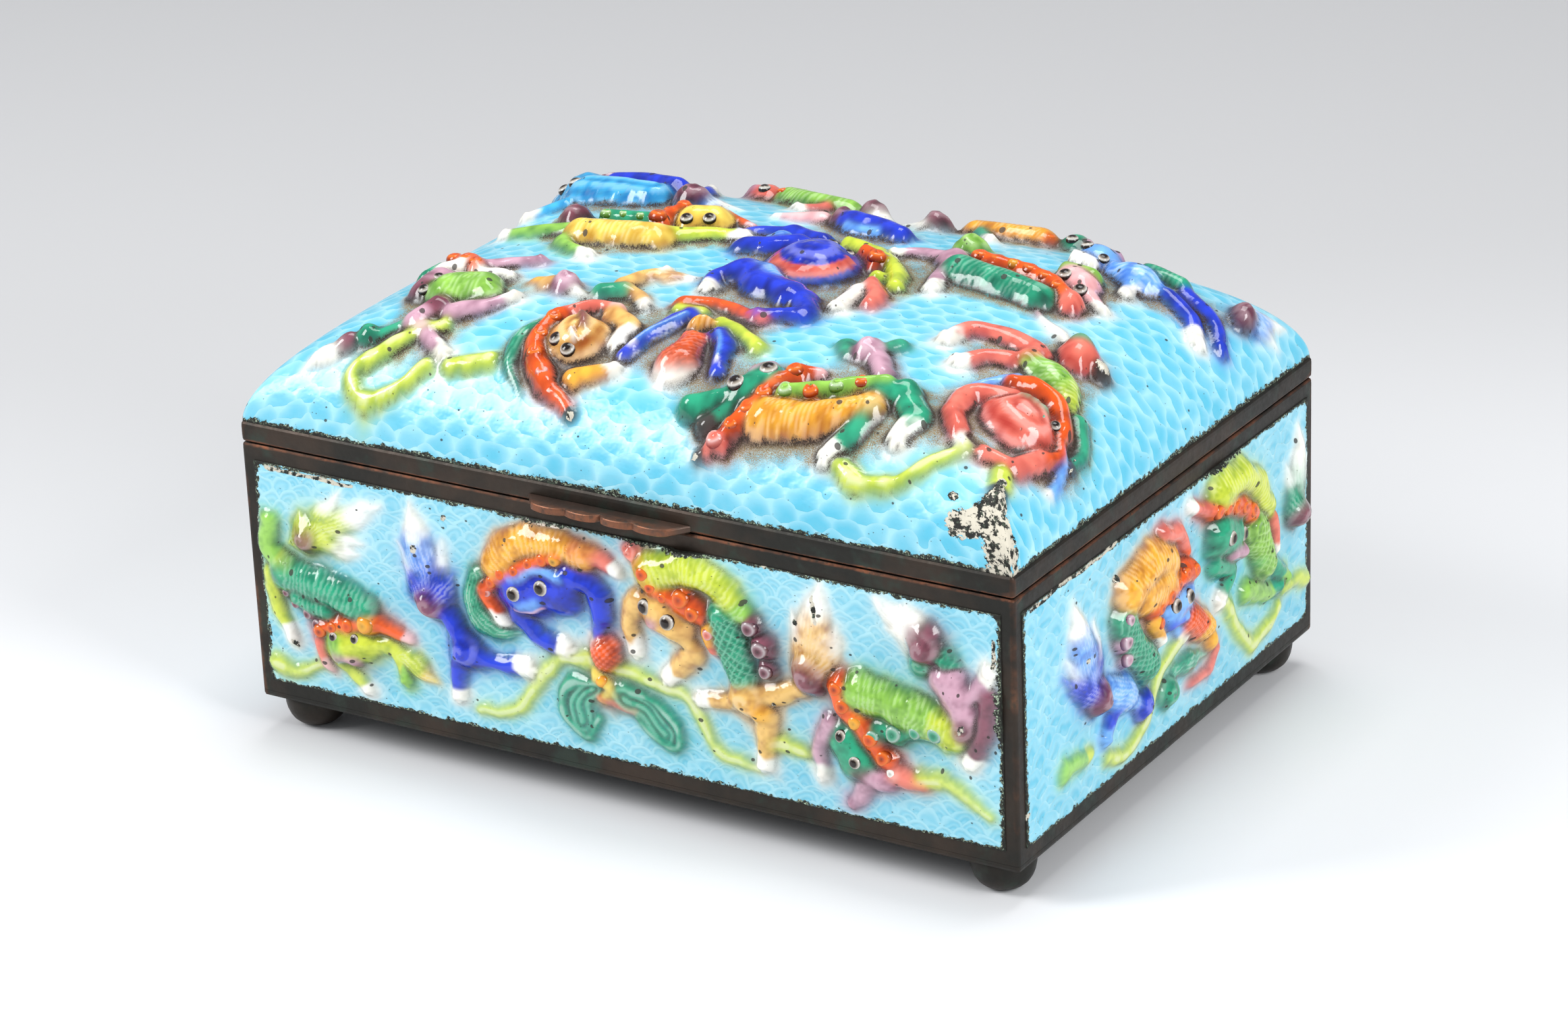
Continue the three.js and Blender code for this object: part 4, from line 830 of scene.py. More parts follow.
class DomeSheet:
    """The sheet of the lid, bent over its dome."""

    swell = 0.96
    roundness = 0.8
    ceiling = 6.0
    shadow = 0.12
    # How strongly creases and low ground are darkened, by dirt and by painted shade.
    crease_dirt_and_shade = 0.55
    basin_dirt_and_shade = 1.0
    bead_sink = 0.78
    crown_end = 28

    def __init__(self, step: float, far_step: float, inset: float = SIZES.dome_inset) -> None:
        """Sets the grid.

        Args:
            step: Its spacing.
            far_step: Its spacing on the back slope.
            inset: How far inside the box's outline its edge is.
        """
        self.x = SIZES.length / 2 - inset
        self.y = SIZES.depth / 2 - inset
        self.u = self.ruled(self.x, (1 - self.x, self.x - 1, step))
        self.v = self.ruled(self.y, (1 - self.y, self.crown_end, step),
                            (self.crown_end, self.y - 1, far_step))

    def ruled(self, half: float, *middle: tuple[float, float, float]) -> Grid:
        """Returns grid lines over a width, dense at both edges, with the given spans in the middle."""
        return lines((-half, 0.2 - half, 0.07), (0.2 - half, 1 - half, 0.2), *middle,
                     (half - 1, half - 0.2, 0.2), (half - 0.2, half, 0.07))

    def height(self, u: Grid, v: Grid) -> Grid:
        """Returns the dome's height over its rim."""

        def slope(share: Grid) -> Grid:
            """Returns how high a slope stands at a share of its run."""
            rest = 1 - np.clip(share, 0, 1)
            return np.maximum((1 - rest ** SIZES.dome_curve) ** (1 / SIZES.dome_curve), 1e-4)

        across = slope((self.x - np.abs(u)) / SIZES.dome_run_across)
        back = slope((self.y - np.abs(v)) / SIZES.dome_run_back)
        hip = SIZES.hip_curve
        return SIZES.dome_height * ((across ** -hip + back ** -hip) / 2) ** (-1 / hip)

    def tilt(self, u: Grid, v: Grid) -> tuple[Grid, Grid]:
        """Returns how steeply the dome rises, along u and along v."""
        return (self.height(u + 0.5, v) - self.height(u - 0.5, v),
                self.height(u, v + 0.5) - self.height(u, v - 0.5))

    def place(self, u: Grid, v: Grid, lift: Grid) -> Grid:
        """Returns the points at (u, v) on the sheet, raised by lift."""
        base = np.stack([u, v, SIZES.rim_top + self.height(u, v)], axis=-1)
        tilt_u, tilt_v = self.tilt(u, v)
        normal = np.stack([-tilt_u, -tilt_v, np.ones_like(u)], axis=-1)
        normal /= np.linalg.norm(normal, axis=-1, keepdims=True)
        normal = normal + np.array([0, 0, 1])
        normal /= np.linalg.norm(normal, axis=-1, keepdims=True)
        return base + lift[..., None] * normal

    def edge(self, u: Grid, v: Grid) -> Grid:
        """Returns how far inside the enamel's outline each point is."""
        return self.height(u, v) * 0.8 - 0.5

    def stretch(self, u: Grid, v: Grid) -> tuple[Grid, Grid]:
        """Returns how much longer the surface is than its plan, along u and along v, at most double."""
        wide, high = (np.minimum(np.hypot(1, tilt), 2.0) for tilt in self.tilt(u, v))
        return wide, high

    def flow(self, u: Grid, v: Grid) -> tuple[Grid, Grid]:
        """Returns how far each point is from the middle lines, measured along the dome."""
        rise = self.height(u, v)
        result = []
        for across, axis in ((u, 1), (v, 0)):
            run = np.hypot(np.diff(across, axis=axis), np.diff(rise, axis=axis))
            total = np.insert(np.cumsum(run, axis=axis), 0, 0, axis=axis)
            result.append(total - np.take(total, [total.shape[axis] // 2], axis=axis))
        return result[0], result[1]

    def limit(self, points: Grid) -> Grid:
        """Returns the points, kept inside the solids' box."""
        low = np.array([-self.x, -self.y, SIZES.rim_top])
        high = np.array([self.x, self.y, SIZES.lid_top])
        return np.clip(points, low, high)


def smoothed_path(path: tuple[Spot, ...], steps: int = 5) -> Grid:
    """Returns a smooth curve through a path's points.

    Args:
        path: The points.
        steps: How many points the curve has for each span.

    Returns:
        The curve's points, one to a row.
    """
    points = np.asarray(path, dtype=float)
    if len(points) < 3:
        return points
    padded = np.vstack([2 * points[0] - points[1], points, 2 * points[-1] - points[-2]])
    share = np.linspace(0, 1, steps, endpoint=False)[:, None]
    curve = []
    for a, b, c, d in zip(padded, padded[1:], padded[2:], padded[3:]):
        curve.append(0.5 * (2 * b + (c - a) * share + (2 * a - 5 * b + 4 * c - d) * share ** 2
                            + (3 * b - a - 3 * c + d) * share ** 3))
    return np.vstack([*curve, points[-1:]])


def mottle(shape: tuple[int, int], cell: int, seed: int) -> Grid:
    """Returns a soft random field from 0 to 1.

    Args:
        shape: Its rows and columns.
        cell: How many rows and columns apart its random values are.
        seed: The seed of those values.

    Returns:
        The field.
    """
    rows, columns = shape
    coarse = np.random.default_rng(seed).random((rows // cell + 3, columns // cell + 3))
    y, x = np.arange(rows)[:, None] / cell, np.arange(columns)[None, :] / cell
    j, i = y.astype(int), x.astype(int)
    fy, fx = y - j, x - i
    fy, fx = fy * fy * (3 - 2 * fy), fx * fx * (3 - 2 * fx)
    top = coarse[j, i] * (1 - fx) + coarse[j, i + 1] * fx
    bottom = coarse[j + 1, i] * (1 - fx) + coarse[j + 1, i + 1] * fx
    return top * (1 - fy) + bottom * fy


def blurred(values: Grid, spread: float) -> Grid:
    """Returns a field blurred over a number of cells."""
    rows, columns = values.shape
    fy, fx = np.fft.fftfreq(rows)[:, None], np.fft.rfftfreq(columns)[None, :]
    fade = np.exp(-2 * (math.pi * spread) ** 2 * (fx ** 2 + fy ** 2))
    return np.fft.irfft2(np.fft.rfft2(values) * fade, s=values.shape)


@dataclass(frozen=True)
class Wear:
    """A worn place: where it is, how far it reaches, and how bare it is."""

    path: tuple[Spot, ...]
    radius: float
    strength: float = 1.0


@dataclass(frozen=True)
class GrainLook:
    """How deep a grain is worked, how strongly it is shaded, and how far its crests are whitened at most, as
    a painted highlight.
    """

    depth: float = 0.13
    drawn: float = 0.24
    crest_highlight: float = 0.14


GRAIN_LOOKS = {
    NUBS: GrainLook(depth=0.2),
    RIBS: GrainLook(depth=0.025, drawn=0.2),
    STREAKS: GrainLook(depth=0.05, crest_highlight=0.3),
    STRIPE: GrainLook(depth=0.0, crest_highlight=0.36),
    RINGS: GrainLook(drawn=0.42),
    BANDS: GrainLook(drawn=0.1),
}


@dataclass(frozen=True)
class Trace:
    """One limb as it is measured on a window of the sheet's grid.

    Attributes:
        here: The window's rows and columns.
        path: The limb's smoothed path.
        length: The path's length.
        near: How far each point is from the path.
        off: The same, with a sign for its side.
        along: How far along the path it is.
        radius: The limb's radius there.
        crest: How high on the limb's round it is, from 0 to 1.
    """

    here: tuple[slice, slice]
    path: Grid
    length: float
    near: Grid
    off: Grid
    along: Grid
    radius: Grid
    crest: Grid


class Relief:
    """The height and the paint of one sheet, worked out from its figures.

    Attributes:
        softness: How widely one limb's height runs into the next one's.
        bleed: How widely one limb's colour runs into the next one's.
        felt: How far past its edge a limb is still felt.
        fall: How steeply its height falls off there.
        highest: The height at which it is cut off.
        top_round: How far the relief still rises past the sheet's ceiling.
        halo_reach: How far the glow round a limb reaches.
        halo_strength: How strong it is.
    """

    softness = 0.55
    bleed = 0.5
    felt = 2.6
    fall = 1.1
    highest = 9.0
    top_round = 0.95
    halo_reach = 0.9
    halo_strength = 0.26

    def __init__(self, sheet: PlateSheet | DomeSheet, figures: list[Figure], wears: tuple[Wear, ...],
                 seed: int) -> None:
        """Raises and paints every limb.

        Args:
            sheet: The sheet.
            figures: The figures on it.
            wears: Its worn places.
            seed: The seed of its unevenness.
        """
        self.sheet = sheet
        self.beads = [bead for figure in figures for bead in figure.beads]
        self.u, self.v = np.meshgrid(sheet.u, sheet.v)
        shape = self.u.shape
        self.spacing = float(np.median(np.diff(sheet.u)))
        broad, middle, small = (max(2, round(size / self.spacing)) for size in (3.8, 1.5, 1.4))
        self.uneven = mottle(shape, middle, seed)
        self.fine = mottle(shape, 2, seed + 1)
        self.drawn_u, self.drawn_v = (
            across + 1.2 * (mottle(shape, broad, seed + turn) - 0.5)
            + 0.2 * (mottle(shape, small, seed + turn + 1) - 0.5)
            for across, turn in ((self.u, 2), (self.v, 4))
        )
        self.total = np.ones(shape)
        self.cover = np.zeros(shape)
        self.stretch = sheet.stretch(self.u, self.v)
        self.paint = np.zeros((*shape, 3))
        self.halo = np.zeros(shape)
        self.halo_paint = np.zeros((*shape, 3))
        for figure in figures:
            for limb in figure.limbs:
                self.add(limb)
        raw = self.softness * np.log(self.total)
        over = raw - sheet.ceiling
        eased = sheet.ceiling + self.top_round * (1 - np.exp(-over / self.top_round))
        self.lift = np.where(over > 0, eased, raw)
        self.wear = np.zeros(shape)
        for wear in wears:
            self.wear_down(wear)

    def window(self, path: Grid, reach: float) -> tuple[slice, slice]:
        """Returns the rows and columns within reach of a path."""
        low, high = path.min(axis=0) - reach, path.max(axis=0) + reach
        columns = np.searchsorted(self.sheet.u, [low[0], high[0]])
        rows = np.searchsorted(self.sheet.v, [low[1], high[1]])
        return slice(*rows), slice(*columns)

    def measure(self, path: Grid, here: tuple[slice, slice]) -> tuple[Grid, Grid, Grid]:
        """Measures a window's points against a path.

        Args:
            path: The path's points.
            here: The window.

        Returns:
            The distance to the path, the length along it, and the signed distance across it.
        """
        u, v = self.drawn_u[here][..., None], self.drawn_v[here][..., None]
        if len(path) == 1:
            path = np.vstack([path, path + 1e-6])
        start, step = path[:-1], np.diff(path, axis=0)
        length = np.hypot(*step.T)
        du, dv = u - start[:, 0], v - start[:, 1]
        share = np.clip((du * step[:, 0] + dv * step[:, 1]) / np.maximum(length ** 2, 1e-15), 0, 1)
        wide, high = (stretch[here][..., None] for stretch in self.stretch)
        across = np.hypot((du - share * step[:, 0]) * wide, (dv - share * step[:, 1]) * high)
        best = across.argmin(axis=-1)[..., None]
        reach = np.concatenate([[0], np.cumsum(length)[:-1]])
        side = np.take_along_axis(step[:, 0] * dv - step[:, 1] * du, best, -1)[..., 0]
        near = np.take_along_axis(across, best, -1)[..., 0]
        along = np.take_along_axis(reach + share * length, best, -1)[..., 0]
        return near, along, np.sign(side) * near

    def trace(self, limb: Limb) -> Trace:
        """Measures one limb on the grid."""
        path = smoothed_path(limb.path)
        here = self.window(path, max(limb.root, limb.tip) + self.felt)
        near, along, off = self.measure(path, here)
        length = max(float(np.hypot(*np.diff(path, axis=0).T).sum()), 1e-6)
        share = along / length
        radius = limb.root + (limb.tip - limb.root) * share
        if limb.grain is STREAKS and len(limb.path) > 1:
            radius = limb.root * (0.72 + 0.5 * np.sin(math.pi * share)) * (1.03 - share ** 1.8) ** 0.8
        crest = np.clip(1 - (near / radius) ** 2, 0, 1)
        return Trace(here, path, length, near, off, along, radius, crest)

    def worked(self, limb: Limb, trace: Trace) -> Grid:
        """Returns the pattern of a limb's worked surface, from -1 to 1."""
        here, along, off, near = trace.here, trace.along, trace.off, np.abs(trace.off)
        if limb.grain is RIBS:
            wave = np.cos(2 * math.pi * (along + 0.2 * near) / 0.95 + 2 * self.fine[here])
            return wave * (0.1 + 1.4 * self.uneven[here])
        if limb.grain is STREAKS:
            return np.cos(2 * math.pi * off / 0.7 + 3 * self.fine[here]) * 0.8 + self.uneven[here] - 0.5
        if limb.grain is SCALES:
            a, b = along / 1.5, off / 1.3
            return np.maximum(np.cos(math.pi * (a + b)) ** 8, np.cos(math.pi * (a - b)) ** 8) * 2 - 1
        if limb.grain is NUBS:
            return np.cos(2 * math.pi * self.u[here] / 1.15) * np.cos(2 * math.pi * self.v[here] / 1.15)
        if limb.grain in (RINGS, BANDS):
            spacing = 0.42 if limb.grain is RINGS else 0.4
            return np.cos(2 * math.pi * near / (spacing * limb.root))
        if limb.grain is STRIPE:
            return np.cos(1.15 * math.pi * off / np.maximum(trace.radius, 0.5))
        if limb.grain is COIL:
            du, dv = self.u[here] - trace.path[-1, 0], self.v[here] - trace.path[-1, 1]
            return np.cos(np.arctan2(dv, du) - 2 * math.pi * np.hypot(du, dv) / (0.62 * limb.root))
        return np.zeros_like(along)

    def shades(self, limb: Limb, trace: Trace, pattern: Grid) -> tuple[Grid, Grid]:
        """Works out the colours of a limb.

        Args:
            limb: The limb.
            trace: The limb as it is measured on the grid.
            pattern: Its worked pattern.

        Returns:
            Its own colour at each point, and that of the glow round it.
        """
        look = GRAIN_LOOKS.get(limb.grain, GrainLook())
        crest, length = trace.crest, trace.length
        deep, bright = (linear(shade) for shade in limb.tint.value)
        end_deep, end_bright = (linear(shade) for shade in limb.end.value)
        uneven, fine = self.uneven[trace.here] - 0.5, self.fine[trace.here] - 0.5
        span = 0.6 * length if limb.grain is STREAKS else max(0.16 * length, 1.1 * limb.tip)
        turn = np.clip((trace.along + 1.6 * uneven - length + span) / (0.6 * span), 0, 1)
        turn = turn * (limb.grain is not BANDS)
        turn = (turn * turn * (3 - 2 * turn))[..., None]
        # Painted shade and highlight, partly the enamel's own paler crests: the tone rises from a limb's foot
        # to its crest, and the sheet's shadow darkens the lid's figures.
        tone = 0.16 + 0.78 * crest ** 0.8 + look.drawn * pattern * crest ** 0.7 + 0.66 * uneven + 0.36 * fine
        tone = np.clip(tone - self.sheet.shadow, 0, 1)[..., None]
        first = deep + (bright - deep) * tone
        last = end_deep + (end_bright - end_deep) * tone
        shade = first * (1 - turn) + last * turn
        if limb.grain is BANDS:
            band = np.clip(4 - np.abs(trace.near / trace.radius - 0.7) * 34, 0, 1)
            band = band * (self.v[trace.here] < trace.path[-1, 1] + 2)
            shade = shade + (last - shade) * band[..., None]
        # Painted highlight: crests are whitened where the grain rises.
        crest_highlight = np.clip(0.8 * crest * pattern * (0.5 + 1.5 * uneven), 0, look.crest_highlight)[..., None]
        return shade + (0.8 - shade) * crest_highlight, bright * (1 - turn) + end_bright * turn

    def add(self, limb: Limb) -> None:
        """Raises one limb out of the sheet and paints it."""
        trace = self.trace(limb)
        here, crest, past = trace.here, trace.crest, trace.near - trace.radius
        pattern = self.worked(limb, trace)
        depth = GRAIN_LOOKS.get(limb.grain, GrainLook()).depth
        roundness = 1.0 if limb.grain in (BANDS, RINGS) else self.sheet.roundness
        swell = self.sheet.swell * limb.lift * trace.radius
        height = swell * crest ** roundness + depth * pattern * crest ** 0.7
        height = np.where(trace.near < trace.radius, height, -self.fall * past)
        height = np.minimum(height, self.highest)
        shade, glow_shade = self.shades(limb, trace, pattern)
        self.total[here] += np.exp(height / self.softness)
        weight = np.exp(height / self.bleed)
        self.cover[here] += weight
        self.paint[here] += weight[..., None] * shade
        glow = self.halo_strength * np.exp(-np.maximum(past, 0) / self.halo_reach)
        glow = glow * (0.3 + 1.4 * self.uneven[here])
        self.halo[here] += glow
        self.halo_paint[here] += glow[..., None] * glow_shade

    def wear_down(self, wear: Wear) -> None:
        """Marks one worn place."""
        path = smoothed_path(wear.path)
        here = self.window(path, wear.radius * 2.5)
        near = self.measure(path, here)[0]
        self.wear[here] = np.maximum(self.wear[here], wear.strength * np.exp(-(near / wear.radius) ** 2))

    def colours(self) -> Grid:
        """Returns the paint over the ground, as linear colour and cover."""
        figure = self.paint / np.maximum(self.cover, 1e-9)[..., None]
        cover = (1 - 1 / (1 + self.cover))[..., None]
        halo = self.halo_paint / np.maximum(self.halo, 1e-9)[..., None]
        glow = np.clip(self.halo, 0, 0.4)[..., None]
        mixed = halo + (figure - halo) * cover
        return np.concatenate([mixed, 1 - (1 - cover) * (1 - glow)], axis=-1)

    def dirt_and_shade(self) -> Grid:
        """Returns how much dirt and painted shade lie in the recesses, from 0 to 1."""
        cover = 1 - 1 / (1 + self.cover)
        # Dirt and painted shade: creases lower than their surroundings near the figures are darkened, and so
        # is low ground ringed by raised relief.
        crease = np.clip(6.0 * (blurred(self.lift, 0.6 / self.spacing) - self.lift) - 0.05, 0, 1)
        crease = crease * np.clip(cover * 1.6 - 0.3, 0, 1) * (0.4 + 0.8 * self.uneven)
        around = blurred(np.minimum(self.lift, 3.0), 4.2 / self.spacing)
        basin = np.clip(2.2 * (around - 0.66), 0, 1) * np.clip(1.3 - self.lift, 0, 1)
        basin = self.sheet.basin_dirt_and_shade * basin * (0.5 + 1.2 * self.uneven)
        return np.clip(self.sheet.crease_dirt_and_shade * crease + basin, 0, 1)

    def at(self, spot: Spot) -> tuple[float, float, float]:
        """Returns the height at a spot, and how steeply it rises along u and along v."""

        def height(u: float, v: float) -> float:
            """Returns the height at one point."""
            j = int(np.clip(np.searchsorted(self.sheet.v, v), 1, len(self.sheet.v) - 2))
            i = int(np.clip(np.searchsorted(self.sheet.u, u), 1, len(self.sheet.u) - 2))
            return float(self.lift[j, i])

        u, v = spot
        rise_u = (height(u + 0.6, v) - height(u - 0.6, v)) / 1.2
        rise_v = (height(u, v + 0.6) - height(u, v - 0.6)) / 1.2
        return height(u, v), rise_u, rise_v


def new_piece(name: str, points: Grid, faces: list[list[int]] | Grid, smooth: bool = True) -> Piece:
    """Makes a mesh piece.

    Args:
        name: Its name.
        points: Its points in millimetres, one to a row.
        faces: The corners of its faces.
        smooth: Whether it is shaded smooth.

    Returns:
        The object.
    """
    mesh = bpy.data.meshes.new(name)
    if isinstance(faces, np.ndarray):
        count, corners = faces.shape
        mesh.vertices.add(len(points))
        mesh.vertices.foreach_set("co", (points * MM).astype(np.float32).ravel())
        mesh.loops.add(count * corners)
        mesh.loops.foreach_set("vertex_index", faces.astype(np.int32).ravel())
        mesh.polygons.add(count)
        mesh.polygons.foreach_set("loop_start", np.arange(0, count * corners, corners, dtype=np.int32))
        mesh.update(calc_edges=True)
    else:
        mesh.from_pydata([tuple(point) for point in np.asarray(points) * MM], [], faces)
    mesh.validate()
    mesh.polygons.foreach_set("use_smooth", np.full(len(mesh.polygons), smooth))
    mesh.update()
    piece = bpy.data.objects.new(name, mesh)
    bpy.context.scene.collection.objects.link(piece)
    return piece


def give(piece: Piece, name: str, values: Grid) -> None:
    """Gives a piece's points an attribute: a colour if it has four values, else a vector or a number."""
    mesh = piece.data
    if values.ndim == 1:
        mesh.attributes.new(name, "FLOAT", "POINT").data.foreach_set("value", values.astype(np.float32))
    elif values.shape[1] == 4:
        layer = mesh.color_attributes.new(name=name, type="FLOAT_COLOR", domain="POINT")
        layer.data.foreach_set("color", values.astype(np.float32).ravel())
    else:
        layer = mesh.attributes.new(name, "FLOAT_VECTOR", "POINT")
        layer.data.foreach_set("vector", values.astype(np.float32).ravel())


def grid_faces(rows: int, columns: int) -> Grid:
    """Returns the four-cornered faces of a grid of points."""
    index = np.arange(rows * columns).reshape(rows, columns)
    return np.stack([index[:-1, :-1], index[:-1, 1:], index[1:, 1:], index[1:, :-1]], axis=-1).reshape(-1, 4)


class Value:
    """What one socket of a material gives, to be reckoned with."""

    def __init__(self, wiring: "Wiring", socket: Socket) -> None:
        """Keeps the socket and the wiring that it belongs to."""
        self.wiring = wiring
        self.socket = socket

    def __add__(self, other: "Value | float") -> "Value":
        """Returns the sum."""
        return self.wiring.math("ADD", self, other)

    def __sub__(self, other: "Value | float") -> "Value":
        """Returns the difference."""
        return self.wiring.math("SUBTRACT", self, other)

    def __rsub__(self, other: float) -> "Value":
        """Returns a plain number less this value."""
        return self.wiring.math("SUBTRACT", other, self)

    def __mul__(self, other: "Value | float") -> "Value":
        """Returns the product."""
        return self.wiring.math("MULTIPLY", self, other)

    def __truediv__(self, other: float) -> "Value":
        """Returns the quotient."""
        return self.wiring.math("DIVIDE", self, other)

    def clamped(self) -> "Value":
        """Returns this value, kept from 0 to 1."""
        self.socket.node.use_clamp = True
        return self

    __radd__ = __add__
    __rmul__ = __mul__


class Wiring:
    """The nodes of one material, and the means to wire them."""

    def __init__(self, name: str) -> None:
        """Starts a material with a Principled shader."""
        self.material = bpy.data.materials.new(name)
        self.material.use_nodes = True
        self.nodes = self.material.node_tree.nodes
        self.shader = self.nodes["Principled BSDF"]

    def put(self, socket: Socket, value: object) -> None:
        """Links a socket to a value, or sets it to a constant."""
        if isinstance(value, Value):
            self.material.node_tree.links.new(value.socket, socket)
        else:
            socket.default_value = value

    def surface(self, **inputs: object) -> None:
        """Sets the shader's inputs, named with underscores for spaces."""
        for name, value in inputs.items():
            self.put(self.shader.inputs[name.replace("_", " ")], value)

    def node(self, kind: str, **inputs: object) -> bpy.types.Node:
        """Returns a new node of one kind with some of its inputs set, named with underscores for spaces."""
        node = self.nodes.new("ShaderNode" + kind)
        for name, value in inputs.items():
            self.put(node.inputs[name.replace("_", " ")], value)
        return node

    def math(self, operation: str, *values: object) -> Value:
        """Returns the result of a Math node on up to three values."""
        node = self.node("Math")
        node.operation = operation
        for socket, value in zip(node.inputs, values):
            self.put(socket, value)
        return Value(self, node.outputs[0])

    def step(self, value: Value, low: float, high: float) -> Value:
        """Returns a smooth step of a value from 0 at low to 1 at high."""
        node = self.node("MapRange", Value=value, From_Min=low, From_Max=high)
        node.interpolation_type = "SMOOTHSTEP"
        return Value(self, node.outputs["Result"])

    def mix(self, share: Value, *colours: Value | Shade) -> Value:
        """Returns a mix of two colours, the second one at a share of 1."""
        node = self.node("Mix")
        node.data_type = "RGBA"
        self.put(node.inputs["Factor"], share)
        for socket, colour in zip([s for s in node.inputs if s.type == "RGBA"], colours):
            if isinstance(colour, tuple):
                colour = (*(float(part) for part in linear(colour)), 1.0)
            self.put(socket, colour)
        return Value(self, next(s for s in node.outputs if s.type == "RGBA"))

    def noise(self, place: Value, scale: float, detail: float = 2.0, rough: float = 0.5) -> Value:
        """Returns a noise value from 0 to 1."""
        node = self.node("TexNoise", Vector=place, Scale=scale, Detail=detail, Roughness=rough)
        return Value(self, node.outputs[0])

    def cells(self, place: Value, scale: float) -> tuple[Value, Value]:
        """Returns the distance to the nearest of some scattered points, and that point's random value."""
        node = self.node("TexVoronoi", Vector=place, Scale=scale)
        split = self.node("SeparateColor", Color=Value(self, node.outputs["Color"]))
        return Value(self, node.outputs["Distance"]), Value(self, split.outputs[0])

    def attribute(self, name: str, output: str) -> Value:
        """Returns what one of the mesh's attributes gives, as its number, vector, colour or alpha."""
        node = self.node("Attribute")
        node.attribute_name = name
        return Value(self, node.outputs[output])

    def split(self, vector: Value) -> tuple[Value, ...]:
        """Returns a vector's three parts."""
        return tuple(Value(self, output) for output in self.node("SeparateXYZ", Vector=vector).outputs)

    def bump(self, height: Value, distance: float, strength: float = 1.0,
             below: Value | None = None) -> Value:
        """Returns a bumped normal from a height, on top of another one if there is one below."""
        node = self.node("Bump", Strength=strength, Distance=distance, Height=height)
        if below:
            self.put(node.inputs["Normal"], below)
        return Value(self, node.outputs[0])

    def place(self) -> Value:
        """Returns the place on the object, in metres."""
        return Value(self, self.node("TexCoord").outputs["Object"])


@dataclass(frozen=True)
class ScaleGround:
    """The scales that are beaten into the turquoise ground.

    Attributes:
        width: The distance between scales in a row, in millimetres.
        rise: The distance between rows.
        reach: Half a scale's width, and its height.
        ripples: How many fine lines run inside each scale.
        outline: How pale a scale's outline is, from 0 to 1.
        depth: How deep the scales are cut, in millimetres.
        wash: How much paler the whole ground is.
    """

    width: float = 5.6
    rise: float = 2.7
    reach: Spot = (3.0, 3.4)
    ripples: float = 0.0
    outline: float = 0.6
    depth: float = 0.16
    wash: float = 0.0

    def wire(self, w: Wiring, u: Value, v: Value) -> Value:
        """Wires the scales.

        Args:
            w: The material's wiring.
            u: The place along a row, in millimetres.
            v: The place across the rows, in millimetres.

        Returns:
            How far each point is from the middle of its scale, 1 at the outline.
        """
        row = v / self.rise
        floor = w.math("FLOOR", row)
        up = (row - floor) * self.rise
        odd = w.math("FLOORED_MODULO", floor, 2.0)
        place = u / self.width

        def centre(shift: Value, height: Value) -> Value:
            """Returns the distance to the middle of a row's scale."""
            part = w.math("FRACT", place + shift)
            across = (part - 0.5) * (self.width / self.reach[0])
            high = height / self.reach[1]
            return w.math("SQRT", across * across + high * high)

        behind = centre(odd * 0.5, up)
        front = centre((1.0 - odd) * 0.5, up + self.rise)
        covered = w.math("LESS_THAN", front, 1.0)
        chosen = front * covered + behind * (1.0 - covered)
        return w.math("MINIMUM", chosen, 1.0)

    def wave(self, w: Wiring, scale: Value) -> Value:
        """Returns the fine lines inside the scales, from -1 to 1."""
        return w.math("SINE", scale * (2 * math.pi * self.ripples))


